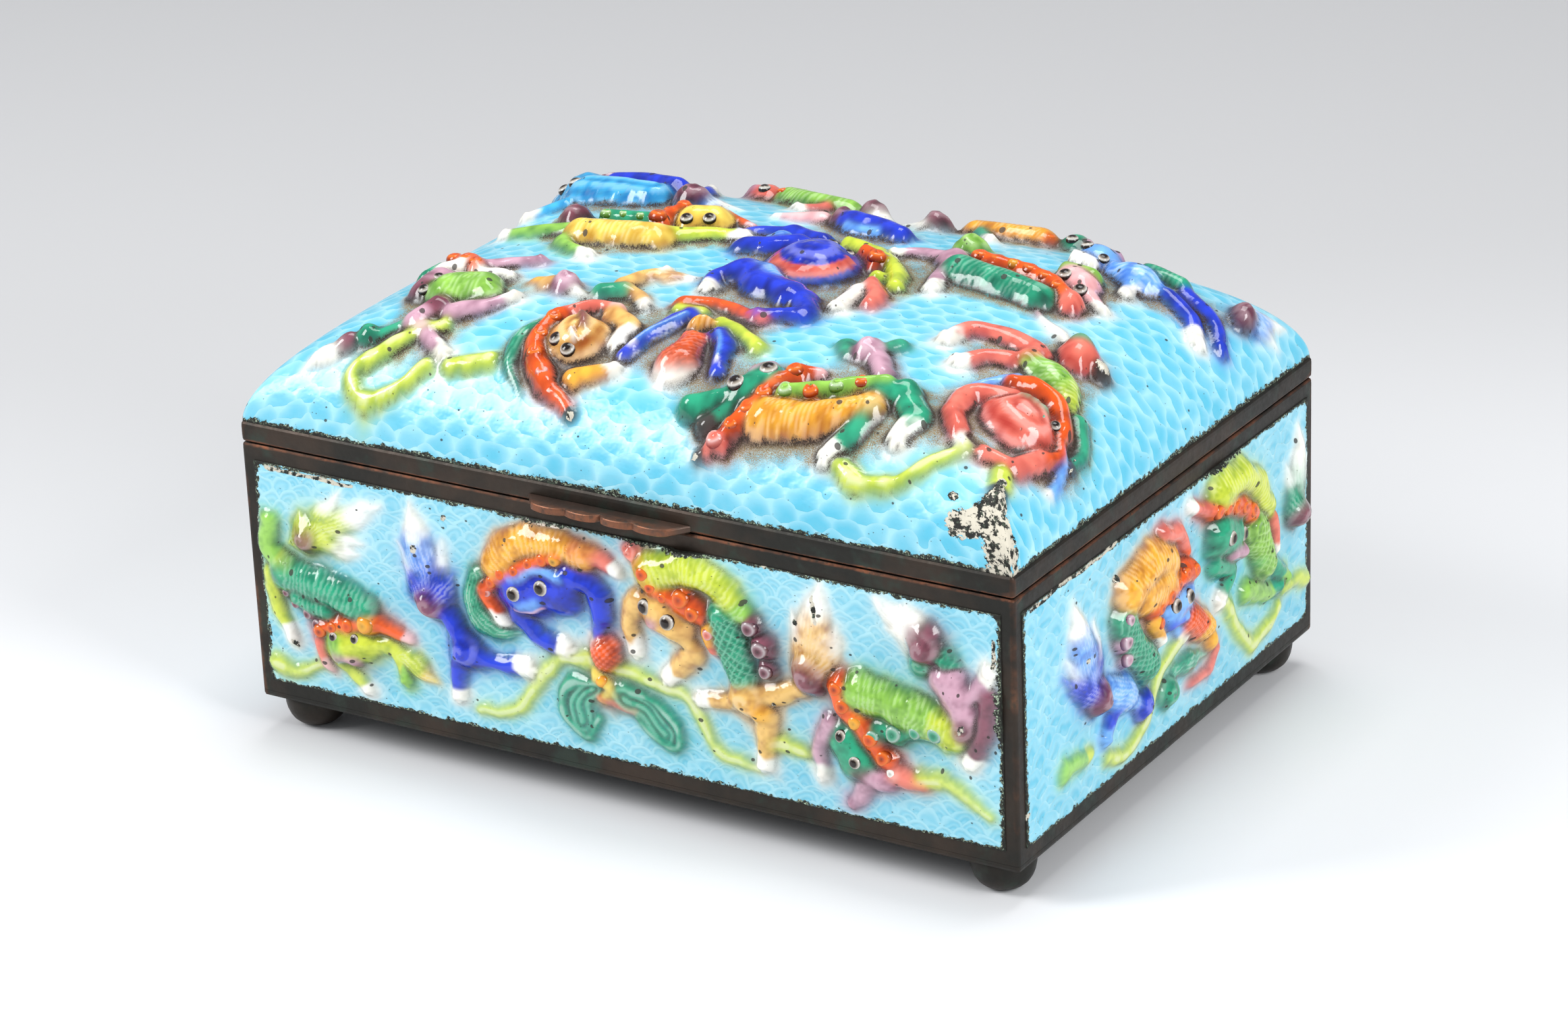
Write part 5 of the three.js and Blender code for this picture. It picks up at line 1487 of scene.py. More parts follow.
@dataclass(frozen=True)
class Enamel:
    """Painted enamel on beaten copper, chipped at its borders and pitted."""

    name: str
    ground: ScaleGround
    deep: Shade = (92, 186, 214)
    pale: Shade = (176, 224, 234)
    bare: Shade = (30, 30, 26)
    # The colours of the dirt and painted shade in the recesses, on the ground and on the figures.
    soot: Shade = (130, 106, 62)
    crust_and_shade: Shade = (44, 28, 18)
    dusty: Shade = (120, 176, 190)
    pit: Shade = (40, 36, 30)
    green: Shade = (70, 82, 68)
    primer: Shade = (206, 200, 184)
    lip: Shade = (186, 204, 176)
    roughness: float = 0.1

    def painted(self, w: Wiring, sheet: Value, scale: Value, fleck: Value) -> Value:
        """Returns the clean colour of the ground and of the figures painted on it."""
        outline = w.math("POWER", scale, 3.2) * self.ground.outline
        cloud = w.noise(sheet, 0.12, 3.0)
        pale = (outline + (cloud - (0.45 - self.ground.wash)) * 0.9).clamped()
        if self.ground.ripples:
            pale = (pale + self.ground.wave(w, scale) * 0.12).clamped()
        ground = w.mix(pale, self.deep, self.pale)
        ground = w.mix(w.step(fleck, 0.56, 0.8) * 0.22, ground, self.dusty)
        return w.mix(w.attribute("paint", "Alpha"), ground, w.attribute("paint", "Color"))

    def stain_and_shade(self, w: Wiring, sheet: Value, cover: Value, grime_and_shade: Value) -> Value:
        """Returns how strongly the dirt and painted shade show, in speckles on the ground and more evenly on
        the figures.
        """
        speckle = 0.35 + w.step(w.noise(sheet, 5.5, 2.0, 0.8), 0.42, 0.6)
        stain_and_shade = (grime_and_shade * (speckle * 0.7 + cover * 0.5)).clamped()
        return (stain_and_shade * 1.4).clamped()

    def pits(self, w: Wiring, sheet: Value, cover: Value) -> Value:
        """Returns where the enamel is pitted, by broad holes and by specks."""
        distance, chance = w.cells(sheet, 0.42)
        size = (chance - (0.7 - cover * 0.26)) * 0.42
        hole = 1.0 - w.step(distance - size, -0.02, 0.03)
        distance, chance = w.cells(sheet, 1.25)
        size = (chance - 0.74) * 0.6
        speck = 1.0 - w.step(distance - size, -0.03, 0.03)
        return w.math("MAXIMUM", hole, speck * 0.8)

    def border(self, w: Wiring, sheet: Value, edge: Value, wear: Value) -> tuple[Value, Value]:
        """Returns where the enamel is still there, and the pale lip where it breaks off."""
        ragged = (w.noise(sheet, 0.9, 4.0, 0.65) - 0.5) * 2.3
        broad = (w.noise(sheet, 0.22, 2.0) - 0.5) * 1.3
        worn = wear * (0.1 + w.noise(sheet, 0.8, 4.0, 0.75) * 1.7)
        reach = edge + (ragged + broad) - w.step(worn, 0.42, 0.62) * 40.0
        kept = w.step(reach, 0.0, 0.12)
        return kept, w.step(reach, -0.45, -0.2) - kept

    def metal(self, w: Wiring, sheet: Value, wear: Value) -> Value:
        """Returns the colour of the metal where the enamel is gone."""
        bare = w.mix(w.step(w.noise(sheet, 1.3, 3.0, 0.6), 0.5, 0.7), self.bare, self.green)
        white = w.step(w.noise(sheet, 0.62, 4.0, 0.72), 0.47, 0.51)
        return w.mix(white * w.step(wear, 0.2, 0.5), bare, self.primer)

    def material(self) -> Material:
        """Returns the material."""
        w = Wiring(self.name)
        sheet = w.attribute("sheet", "Vector")
        u, v, edge = w.split(sheet)
        dirt_and_shade, wear, _ = w.split(w.attribute("marks_and_shade", "Vector"))
        cover = w.attribute("paint", "Alpha")
        fleck = w.noise(sheet, 2.6, 3.0, 0.7)
        bent_u = u + (w.noise(sheet, 0.16, 1.0) - 0.5) * 4.0
        bent_v = v + (w.noise(sheet, 0.21, 1.0) - 0.5) * 3.4
        scale = self.ground.wire(w, bent_u, bent_v)
        grime_and_shade = (dirt_and_shade * (0.45 + fleck * 0.9)).clamped()
        hole = self.pits(w, sheet, cover)
        kept, lip = self.border(w, sheet, edge, wear)
        # Dirt and painted shade in the recesses: brown on the ground, near black on the figures, laid on in
        # speckles.
        soil_and_shade = w.mix(w.step(cover, 0.2, 0.8), self.soot, self.crust_and_shade)
        glaze = w.mix(self.stain_and_shade(w, sheet, cover, grime_and_shade), self.painted(w, sheet, scale, fleck), soil_and_shade)
        glaze = w.mix(hole * 0.88, glaze, self.pit)
        bare = w.mix(lip * w.step(fleck, 0.5, 0.66), self.metal(w, sheet, wear), self.lip)
        gloss = self.roughness + w.math("MAXIMUM", hole, grime_and_shade * 0.7) * 0.45
        gloss = gloss + (1.0 - cover) * 0.16
        gloss = (gloss + (1.0 - kept) * 0.42).clamped()
        cut = scale * (1.0 - cover)
        if self.ground.ripples:
            cut = cut + self.ground.wave(w, scale) * 0.22 * (1.0 - cover)
        normal = w.bump(cut, self.ground.depth * MM)
        skin = w.noise(sheet, 0.7, 1.0) * 0.5 + kept * 0.9
        normal = w.bump(skin - hole * 0.6, 0.16 * MM, 1.0, normal)
        w.surface(Base_Color=w.mix(kept, bare, glaze), Roughness=gloss, Metallic=(1.0 - kept) * 0.35,
                  IOR=1.5, Normal=normal)
        return w.material


@dataclass(frozen=True)
class Copper:
    """Copper with a dark patina, worn through at its edges."""

    name: str
    dark: Shade = (32, 31, 27)
    brown: Shade = (58, 46, 37)
    worn: Shade = (132, 84, 62)
    green: Shade = (44, 58, 50)
    roughness: float = 0.48
    bright: float = 0.0

    def material(self) -> Material:
        """Returns the material."""
        w = Wiring(self.name)
        place = w.place()
        edge = w.attribute("edge", "Fac")
        cloud = w.noise(place, 60, 4.0, 0.6)
        fine = w.noise(place, 900, 3.0, 0.6)
        patch = w.noise(place, 160, 3.0, 0.6)
        colour = w.mix(w.step(cloud, 0.35, 0.7), self.dark, self.brown)
        colour = w.mix(w.step(patch, 0.52, 0.72) * 0.7, colour, self.green)
        rubbed = edge * (0.25 + patch * 1.3) + self.bright
        rubbed = w.step(rubbed, 0.62, 1.15) * w.step(fine, 0.2, 0.6)
        colour = w.mix(rubbed, colour, self.worn)
        rough = self.roughness + (fine - 0.5) * 0.3
        normal = w.bump(cloud + fine * 0.25, 0.25 * MM, 0.7)
        w.surface(Base_Color=colour, Metallic=0.55 + rubbed * 0.4, Roughness=rough, Normal=normal)
        return w.material


@dataclass(frozen=True)
class Lining:
    """Plain turquoise enamel inside the box."""

    name: str
    deep: Shade = (70, 160, 190)
    pale: Shade = (118, 196, 214)

    def material(self) -> Material:
        """Returns the material."""
        w = Wiring(self.name)
        place = w.place()
        cloud = w.noise(place, 45, 4.0, 0.55)
        colour = w.mix(w.step(cloud, 0.3, 0.7), self.deep, self.pale)
        distance, chance = w.cells(place, 420)
        hole = w.math("LESS_THAN", distance, (chance - 0.72) * 0.5)
        colour = w.mix(hole * 0.8, colour, (44, 42, 38))
        normal = w.bump(w.noise(place, 300, 2.0), 0.1 * MM, 0.6)
        w.surface(Base_Color=colour, Roughness=0.22, Normal=normal)
        return w.material


@dataclass(frozen=True)
class BeadEnamel:
    """The enamel of eyes and curls, painted point by point."""

    name: str

    def material(self) -> Material:
        """Returns the material."""
        w = Wiring(self.name)
        place = w.place()
        distance, chance = w.cells(place, 900)
        hole = w.math("LESS_THAN", distance, (chance - 0.7) * 0.5)
        colour = w.mix(hole * 0.8, w.attribute("paint", "Color"), (30, 26, 22))
        normal = w.bump(w.noise(place, 1400, 2.0), 0.08 * MM, 0.6)
        w.surface(Base_Color=colour, Roughness=0.14, Normal=normal)
        return w.material


def dress(piece: Piece, body: str, node: str = "", finishes: tuple[Material, ...] = ()) -> None:
    """Gives a piece its finishes, lets it ride on a body and reports it.

    Args:
        piece: The piece.
        body: The body that it rides on.
        node: The solid that it takes the place of, if there is one.
        finishes: Its materials.
    """
    for finish in finishes:
        piece.data.materials.append(finish)
    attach(piece, body)
    if node:
        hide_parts(node)
    LOG.info("%s: %d faces", piece.name, len(piece.data.polygons))


def ring_faces(rings: int, sides: int, closed: bool = False) -> list[list[int]]:
    """Returns the faces between rings of points that follow on from each other.

    Args:
        rings: How many rings there are.
        sides: How many points each ring has.
        closed: Whether the last ring is joined to the first.

    Returns:
        The four corners of each face.
    """
    faces = []
    for ring in range(rings if closed else rings - 1):
        below, above = ring * sides, (ring + 1) % rings * sides
        for side in range(sides):
            after = (side + 1) % sides
            faces.append([below + side, below + after, above + after, above + side])
    return faces


@dataclass
class EnamelPanel:
    """One enamelled plate or the lid's dome: a dense raised sheet with its beads."""

    node: str
    body: str
    relief: Relief
    enamel: Material
    bead_enamel: Material
    bead_rings: int = 7
    bead_sides: int = 14

    def build(self) -> None:
        """Builds the sheet and its beads."""
        relief, sheet = self.relief, self.relief.sheet
        edge = sheet.edge(relief.u, relief.v)
        settled = relief.lift - 0.12 * np.clip(relief.wear, 0, 1)
        points = sheet.limit(sheet.place(relief.u, relief.v, settled)).reshape(-1, 3)
        paint = relief.colours().reshape(-1, 4)
        place = np.stack([*sheet.flow(relief.u, relief.v), edge], axis=-1).reshape(-1, 3)
        marks_and_shade = np.stack([relief.dirt_and_shade(), relief.wear, np.zeros_like(edge)], axis=-1).reshape(-1, 3)
        faces = grid_faces(*relief.lift.shape)
        if isinstance(sheet, PlateSheet):
            index = np.arange(len(points)).reshape(relief.lift.shape)
            loop = np.concatenate([index[0, :-1], index[:-1, -1], index[-1, :0:-1], index[:0:-1, 0]])
            back = points[loop] - sheet.out * (SIZES.plate_proud + SIZES.plate_bed)
            under = len(points) + np.arange(len(loop))
            skirt = np.stack([loop, under, np.roll(under, -1), np.roll(loop, -1)], axis=-1)
            faces = np.concatenate([faces, skirt])
            points = np.concatenate([points, back])
            paint, place, marks_and_shade = (np.concatenate([part, part[loop]]) for part in (paint, place, marks_and_shade))
            place[-len(loop):, 2] = -3
        piece = new_piece(f"{self.node}_enamel", points, faces)
        for name, values in (("paint", paint), ("sheet", place), ("marks_and_shade", marks_and_shade)):
            give(piece, name, values)
        dress(piece, self.body, self.node, (self.enamel,))
        self.build_beads()

    def build_beads(self) -> None:
        """Builds the eyes, curls and pearls as one piece."""
        rings, sides = self.bead_rings, self.bead_sides
        faces = [[0, 1 + i, 1 + (i + 1) % sides] for i in range(sides)]
        faces += [[1 + a, 1 + d, 1 + c, 1 + b] for a, b, c, d in ring_faces(rings, sides)]
        points, paints, corners = [], [], []
        share = np.linspace(0, 1, rings + 1)
        reach, tops = np.sin(share * math.pi * 0.56), np.cos(share * math.pi * 0.56)
        for bead in self.relief.beads:
            curled = bead.kind is BeadKind.CURL
            base, normal = self.bead_seat(bead)
            side = np.cross(np.array([0.3, 0.2, 0.93]), normal)
            side /= np.linalg.norm(side)
            ahead = np.cross(normal, side)
            top = tops * (0.8 if bead.kind is BeadKind.EYE else 0.95)
            if curled:
                top = top - 0.24 * np.exp(-(share / 0.24) ** 2)
            sink = -(0.36 if bead.kind is BeadKind.EYE else self.relief.sheet.bead_sink) * bead.radius
            shades = self.bead_shades(bead, share)
            corners += [[corner + len(points) for corner in face] for face in faces]
            points.append(base + normal * (top[0] * bead.radius + sink))
            paints.append(shades[0])
            for ring in range(1, rings + 1):
                for angle in np.arange(sides) * 2 * math.pi / sides:
                    spiral = reach[ring] * (1 + (0.06 * math.sin(3 * angle) if curled else 0))
                    across = side * math.cos(angle) + ahead * math.sin(angle)
                    points.append(base + (across * spiral + normal * top[ring]) * bead.radius + normal * sink)
                    paints.append(shades[ring])
        piece = new_piece(f"{self.node}_beads", self.relief.sheet.limit(np.array(points)), corners)
        give(piece, "paint", np.concatenate([np.array(paints), np.ones((len(paints), 1))], axis=1))
        dress(piece, self.body, finishes=(self.bead_enamel,))

    def bead_seat(self, bead: Bead) -> tuple[Grid, Grid]:
        """Finds where a bead sits.

        Args:
            bead: The bead.

        Returns:
            The point on the raised sheet, and the way out from it.
        """
        height, rise_u, rise_v = self.relief.at(bead.spot)
        u, v = bead.spot
        base, out, east, north = (
            self.relief.sheet.place(*(np.array([value]) for value in place))[0]
            for place in ((u, v, height), (u, v, height + 1), (u + 0.6, v, height + 0.45 * rise_u),
                          (u, v + 0.6, height + 0.45 * rise_v))
        )
        normal = np.cross(east - base, north - base)
        normal = normal / np.linalg.norm(normal) + out - base
        return base, normal / np.linalg.norm(normal)

    def bead_shades(self, bead: Bead, share: Grid) -> Grid:
        """Returns a bead's colour at each share of the way from its top to its foot, with painted shade
        towards its foot and a painted highlight ring.
        """
        deep, bright = (linear(shade) for shade in bead.tint.value)
        dark = linear((26, 16, 12))
        if bead.kind is BeadKind.EYE:
            rings = ((0.4, dark), (0.5, linear((150, 140, 128))), (0.66, bright * 0.66), (math.inf, dark))
            return np.array([next(shade for end, shade in rings if part < end) for part in share])
        # Painted shade: lighter at the top, darker towards the foot.
        tone = np.clip(1.25 - 1.35 * share, 0, 1)[:, None]
        shades = deep * 0.7 + (bright - deep * 0.7) * tone
        # Painted highlight: a pale ring part way down, orange on red and amber beads, near white on the
        # others.
        pale = 0.42 * np.exp(-((share - 0.42) / 0.12) ** 2)[:, None]
        glow = linear((250, 150, 60)) if bead.tint in (RED, AMBER) else 0.85
        shades = shades + (glow - shades) * pale
        if bead.kind is BeadKind.CURL:
            hollow = np.exp(-(share / 0.2) ** 2)[:, None]
            shades = shades + (dark - shades) * hollow * (0.35 + 0.5 * math.sin(9.7 * bead.spot[0]) ** 2)
        return shades


def outline(half_x: float, half_y: float, radius: float, step: float = 2.5, bend: int = 6) -> Grid:
    """Returns the points of a rounded oblong, anticlockwise from the front left.

    Args:
        half_x: Half its length.
        half_y: Half its depth.
        radius: The radius of its corners.
        step: The spacing of the points along its sides, about.
        bend: How many spans each corner has.

    Returns:
        The points, as many for every oblong of about one size.
    """
    arcs = []
    corners = ((half_x, -half_y), (half_x, half_y), (-half_x, half_y), (-half_x, -half_y))
    for (x, y), start in zip(corners, (-90, 0, 90, 180)):
        angles = np.radians(start + 90 * np.arange(bend + 1) / bend)
        centre = np.array([x - math.copysign(radius, x), y - math.copysign(radius, y)])
        arcs.append(centre + radius * np.stack([np.cos(angles), np.sin(angles)], axis=1))
    counts = (round(SIZES.depth / step), round(SIZES.length / step)) * 2
    points = []
    for arc, after, count in zip(arcs, arcs[1:] + arcs[:1], counts):
        share = np.linspace(0, 1, count, endpoint=False)[1:, None]
        points += [arc, arc[-1] + (after[0] - arc[-1]) * share]
    return np.concatenate(points)


@dataclass(frozen=True)
class Row:
    """One row of a copper band: its inset from the box's outside, its height, and how rubbed it is."""

    inset: float
    height: float
    rubbed: float = 0.0


@dataclass
class Band:
    """A closed ring of copper that follows the box's outline, with softened edges.

    Attributes:
        name: The piece's name.
        rows: Its section, from the outside foot over the top to the inside foot.
        closed: Whether the last row is joined to the first.
        lined: From which row on it has the lining.
    """

    name: str
    rows: tuple[Row, ...]
    closed: bool = True
    lined: int = 0

    def build(self) -> Piece:
        """Builds the band and returns it."""
        points, wear = [], []
        for row in self.rows:
            radius = max(SIZES.corner - row.inset, 0.35)
            ring = outline(SIZES.length / 2 - row.inset, SIZES.depth / 2 - row.inset, radius)
            for place, spot in enumerate(ring):
                uneven = 0.03 * (1 + math.sin(place * 0.7 + row.height) * math.cos(place * 0.23))
                inward = -spot / np.hypot(*spot) * uneven * row.rubbed
                points.append((spot[0] + inward[0], spot[1] + inward[1], row.height))
                bend = abs(spot[0]) > SIZES.length / 2 - 1.2 and abs(spot[1]) > SIZES.depth / 2 - 1.2
                wear.append(max(row.rubbed, 0.8 if bend else 0.0))
        count = len(points) // len(self.rows)
        faces = ring_faces(len(self.rows), count, self.closed)
        piece = new_piece(self.name, np.array(points), faces, smooth=False)
        give(piece, "edge", np.array(wear))
        if self.lined:
            slots = [int(face // count >= self.lined) for face in range(len(faces))]
            piece.data.polygons.foreach_set("material_index", slots)
        return piece


@dataclass
class Case:
    """The copper case: its walls, bottom and feet."""

    copper: Material
    lining: Material
    foot_sides: int = 40
    foot_profile: tuple[Spot, ...] = (
        (0.0, 0.0), (0.34, 0.0), (0.48, 0.03), (0.64, 0.11), (0.78, 0.22), (0.88, 0.36), (0.95, 0.52),
        (0.99, 0.7), (1.0, 0.86), (0.97, 0.95), (0.94, 1.0),
    )

    def build(self) -> None:
        """Builds every piece of the case."""
        self.walls()
        self.bottom()
        for end, y in (("front", -1), ("back", 1)):
            for side, x in (("left", -1), ("right", 1)):
                self.foot(f"{end}_{side}_foot", x, y)

    def walls(self) -> None:
        """Builds the band of the four walls."""
        low, high, wall = SIZES.base_top, SIZES.body_top, SIZES.wall
        band = Band("case_band", (
            Row(0, low, 0.3), Row(0, low + 0.8), Row(0, high - 1.0), Row(0, high - 0.4, 0.8),
            Row(0.08, high - 0.18, 1.0), Row(0.3, high, 0.9), Row(0.9, high, 0.2), Row(wall - 0.3, high, 0.5),
            Row(wall, high - 0.3, 0.6), Row(wall, high - 1.2), Row(wall, low),
        ), lined=9)
        dress(band.build(), "body", "case_walls", (self.copper, self.lining))

    def bottom(self) -> None:
        """Builds the base plate, with the lining on its top."""
        low, high = SIZES.body_foot, SIZES.base_top
        piece = Band("case_bottom", (
            Row(2.0, low), Row(0.6, low, 0.3), Row(0.16, low + 0.16, 0.6), Row(0, low + 0.6, 0.5),
            Row(0, high - 0.04, 0.2), Row(0.3, high - 0.02, 0.4), Row(2.0, high - 0.02),
        ), closed=False).build()
        edit = bmesh.new()
        edit.from_mesh(piece.data)
        loops = [edge for edge in edit.edges if edge.is_boundary]
        for face in bmesh.ops.holes_fill(edit, edges=loops, sides=0)["faces"]:
            face.normal_update()
            face.material_index = int(face.calc_center_median().z > (low + high) / 2 * MM)
        bmesh.ops.recalc_face_normals(edit, faces=edit.faces)
        edit.to_mesh(piece.data)
        edit.free()
        dress(piece, "body", "base_plate", (self.copper, self.lining))

    def foot(self, node: str, x: int, y: int) -> None:
        """Builds one bun foot, turned from its profile.

        Args:
            node: The solid that it takes the place of.
            x: -1 for a left foot, 1 for a right one.
            y: -1 for a front foot, 1 for a back one.
        """
        centre = (x * (SIZES.length / 2 - SIZES.foot_inset), y * (SIZES.depth / 2 - SIZES.foot_inset))
        points, wear = [], []
        for radius, height in self.foot_profile:
            reach = max(radius, 1e-3) * SIZES.foot_radius * 0.985
            for side in range(self.foot_sides):
                angle = 2 * math.pi * side / self.foot_sides
                points.append((centre[0] + reach * math.cos(angle), centre[1] + reach * math.sin(angle),
                               height * SIZES.body_foot))
                wear.append(0.45 if 0.3 < height < 0.75 else 0.1)
        faces = ring_faces(len(self.foot_profile), self.foot_sides)
        piece = new_piece(f"{node}_bun", np.array(points), faces)
        give(piece, "edge", np.array(wear))
        dress(piece, "body", node, (self.copper,))


@dataclass
class LidFrame:
    """The lid's copper rim, its thumb piece and the lining of its dome."""

    copper: Material
    bright: Material
    lining: Material
    thumb_length: float = 31.5
    thumb_reach: float = 4.0
    thumb_thickness: float = 1.3
    thumb_bevel: float = 2.6
    thumb_steps: int = 40

    def build(self) -> None:
        """Builds the three pieces."""
        low, high, wall = SIZES.rim_foot, SIZES.rim_top, SIZES.wall
        band = Band("lid_band", (
            Row(wall, low + 0.3, 0.6), Row(wall - 0.3, low, 0.5), Row(0.9, low, 0.2), Row(0.3, low, 0.9),
            Row(0.08, low + 0.18, 1.0), Row(0, low + 0.4, 0.8), Row(0, low + 1.1), Row(0, high - 0.9),
            Row(0.05, high - 0.35, 0.5), Row(0.3, high, 0.5), Row(wall, high),
        ), lined=10)
        dress(band.build(), "lid", "lid_rim", (self.copper, self.lining))
        self.thumb_piece()
        self.dome_lining()

    def thumb_piece(self) -> None:
        """Builds the tongue with its scalloped edge, notched in the middle."""
        half, bevel = self.thumb_length / 2, self.thumb_bevel
        front = []
        for share in np.arange(self.thumb_steps + 1) / self.thumb_steps:
            swell = abs(math.sin(4 * math.pi * share))
            notch = math.exp(-((share - 0.5) / 0.02) ** 2)
            front.append((-half + bevel + (self.thumb_length - 2 * bevel) * share,
                          -self.thumb_reach + 0.75 * (1 - swell ** 0.7) + 0.5 * notch))
        loop = [(half, 0.0), (-half, 0.0), *front]
        edit = bmesh.new()
        corners = [edit.verts.new((x * MM, (y - SIZES.depth / 2) * MM, SIZES.rim_foot * MM)) for x, y in loop]
        face = edit.faces.new(corners)
        raised = bmesh.ops.extrude_face_region(edit, geom=[face])["geom"]
        bmesh.ops.translate(edit, vec=(0, 0, self.thumb_thickness * MM),
                            verts=[part for part in raised if isinstance(part, bmesh.types.BMVert)])
        rims = [edge for edge in edit.edges if abs(edge.verts[0].co.z - edge.verts[1].co.z) < 1e-7]
        bmesh.ops.bevel(edit, geom=rims, offset=0.28 * MM, segments=3, profile=0.6, affect="EDGES")
        bmesh.ops.recalc_face_normals(edit, faces=edit.faces)
        mesh = bpy.data.meshes.new("thumb_tongue")
        edit.to_mesh(mesh)
        edit.free()
        piece = bpy.data.objects.new("thumb_tongue", mesh)
        bpy.context.scene.collection.objects.link(piece)
        out = np.array([-vertex.co.y / MM - SIZES.depth / 2 for vertex in mesh.vertices])
        give(piece, "edge", np.clip((out - 1.6) / 1.6, 0, 1))
        dress(piece, "lid", "thumb_piece", (self.bright,))

    def dome_lining(self) -> None:
        """Builds the inside of the dome."""
        inner = DomeSheet(2.0, 2.0, inset=SIZES.wall)
        u, v = (lines((-half, 2 - half, 0.25), (2 - half, half - 2, 2), (half - 2, half, 0.25))
                for half in (inner.x, inner.y))
        uu, vv = np.meshgrid(u, v)
        share = (SIZES.dome_height - SIZES.lid_shell) / SIZES.dome_height
        points = np.stack([uu, vv, SIZES.rim_top + share * inner.height(uu, vv)], axis=-1).reshape(-1, 3)
        piece = new_piece("lid_lining", points, grid_faces(len(v), len(u))[:, ::-1])
        dress(piece, "lid", finishes=(self.lining,))


@dataclass
class Hinge:
    """The hinge: round knuckles on their leaves, and the pin."""

    copper: Material
    knuckles: int = 7
    length: float = 147.4
    radius: float = 1.0
    rod_radius: float = 0.5
    gap: float = 0.3
    leaf_thickness: float = 0.5
    leaf_reach: float = 2.2
    sides: int = 28

    def build(self) -> None:
        """Builds all the knuckles and the pin."""
        pitch = self.length / self.knuckles
        for number in range(self.knuckles):
            start = -self.length / 2 + number * pitch + self.gap / 2
            self.knuckle(number, start, start + pitch - self.gap)
        self.bar("hinge_rod", "hinge_pin", "body", (-self.length / 2, self.length / 2), self.rod_radius)

    def knuckle(self, number: int, start: float, stop: float) -> None:
        """Builds one knuckle with its leaf, up onto the lid or down onto the case.

        Args:
            number: Its number from the left, from 0. Every second one is the lid's.
            start: Where it starts along the hinge.
            stop: Where it ends.
        """
        body, way, root = ("lid", 1, SIZES.rim_foot) if number % 2 else ("body", -1, SIZES.body_top)
        face = SIZES.depth / 2
        node = f"{body}_knuckle_{(number + 1) // 2 if number % 2 else number // 2 + 1}"
        boxes = []
        for reach, near, far in ((self.leaf_reach, face, face + self.leaf_thickness),
                                 (0.5, face + 0.2, SIZES.hinge_y - 0.6)):
            low, high = sorted((root, root + way * reach))
            boxes.append(((start, near, low), (stop, far, high)))
        self.bar(f"{node}_barrel", node, body, (start, stop), self.radius, tuple(boxes))

    def bar(self, name: str, node: str, body: str, span: Spot, radius: float,
            boxes: tuple[tuple[Corner, Corner], ...] = ()) -> None:
        """Builds a round bar with softened ends, and boxes joined to it.

        Args:
            name: The piece's name.
            node: The solid that it takes the place of.
            body: The body that it rides on.
            span: Where it starts and ends.
            radius: Its radius.
            boxes: The lowest and the highest corner of each box.
        """
        start, stop = span
        rings = ((start, 0.55), (start, 0.86), (start + 0.14, 1.0),
                 (stop - 0.14, 1.0), (stop, 0.86), (stop, 0.55))
        points, wear = [], []
        for x, share in rings:
            for angle in np.arange(self.sides) * 2 * math.pi / self.sides:
                points.append((x, SIZES.hinge_y + share * radius * math.cos(angle),
                               SIZES.hinge_z + share * radius * math.sin(angle)))
                wear.append(0.7 if share < 1 else 0.45)
        faces = [[a, d, c, b] for a, b, c, d in ring_faces(len(rings), self.sides)]
        faces.append(list(range(self.sides)))
        faces.append([(len(rings) - 1) * self.sides + side for side in reversed(range(self.sides))])
        for low, high in boxes:
            base = len(points)
            xs, ys, zs = zip(low, high)
            points += [(x, y, z) for z in zs for y in ys for x in xs]
            wear += [0.5] * 8
            faces += [[base + corner for corner in quad] for quad in
                      ((0, 2, 3, 1), (4, 5, 7, 6), (0, 1, 5, 4), (2, 6, 7, 3), (0, 4, 6, 2), (1, 3, 7, 5))]
        piece = new_piece(name, np.array(points), faces, smooth=False)
        give(piece, "edge", np.array(wear))
        dress(piece, body, node, (self.copper,))


@dataclass(frozen=True)
class SoftBox:
    """An oblong light: where it hangs and how large it is, in metres, and its power."""

    name: str
    place: Corner
    size: Spot
    power: float


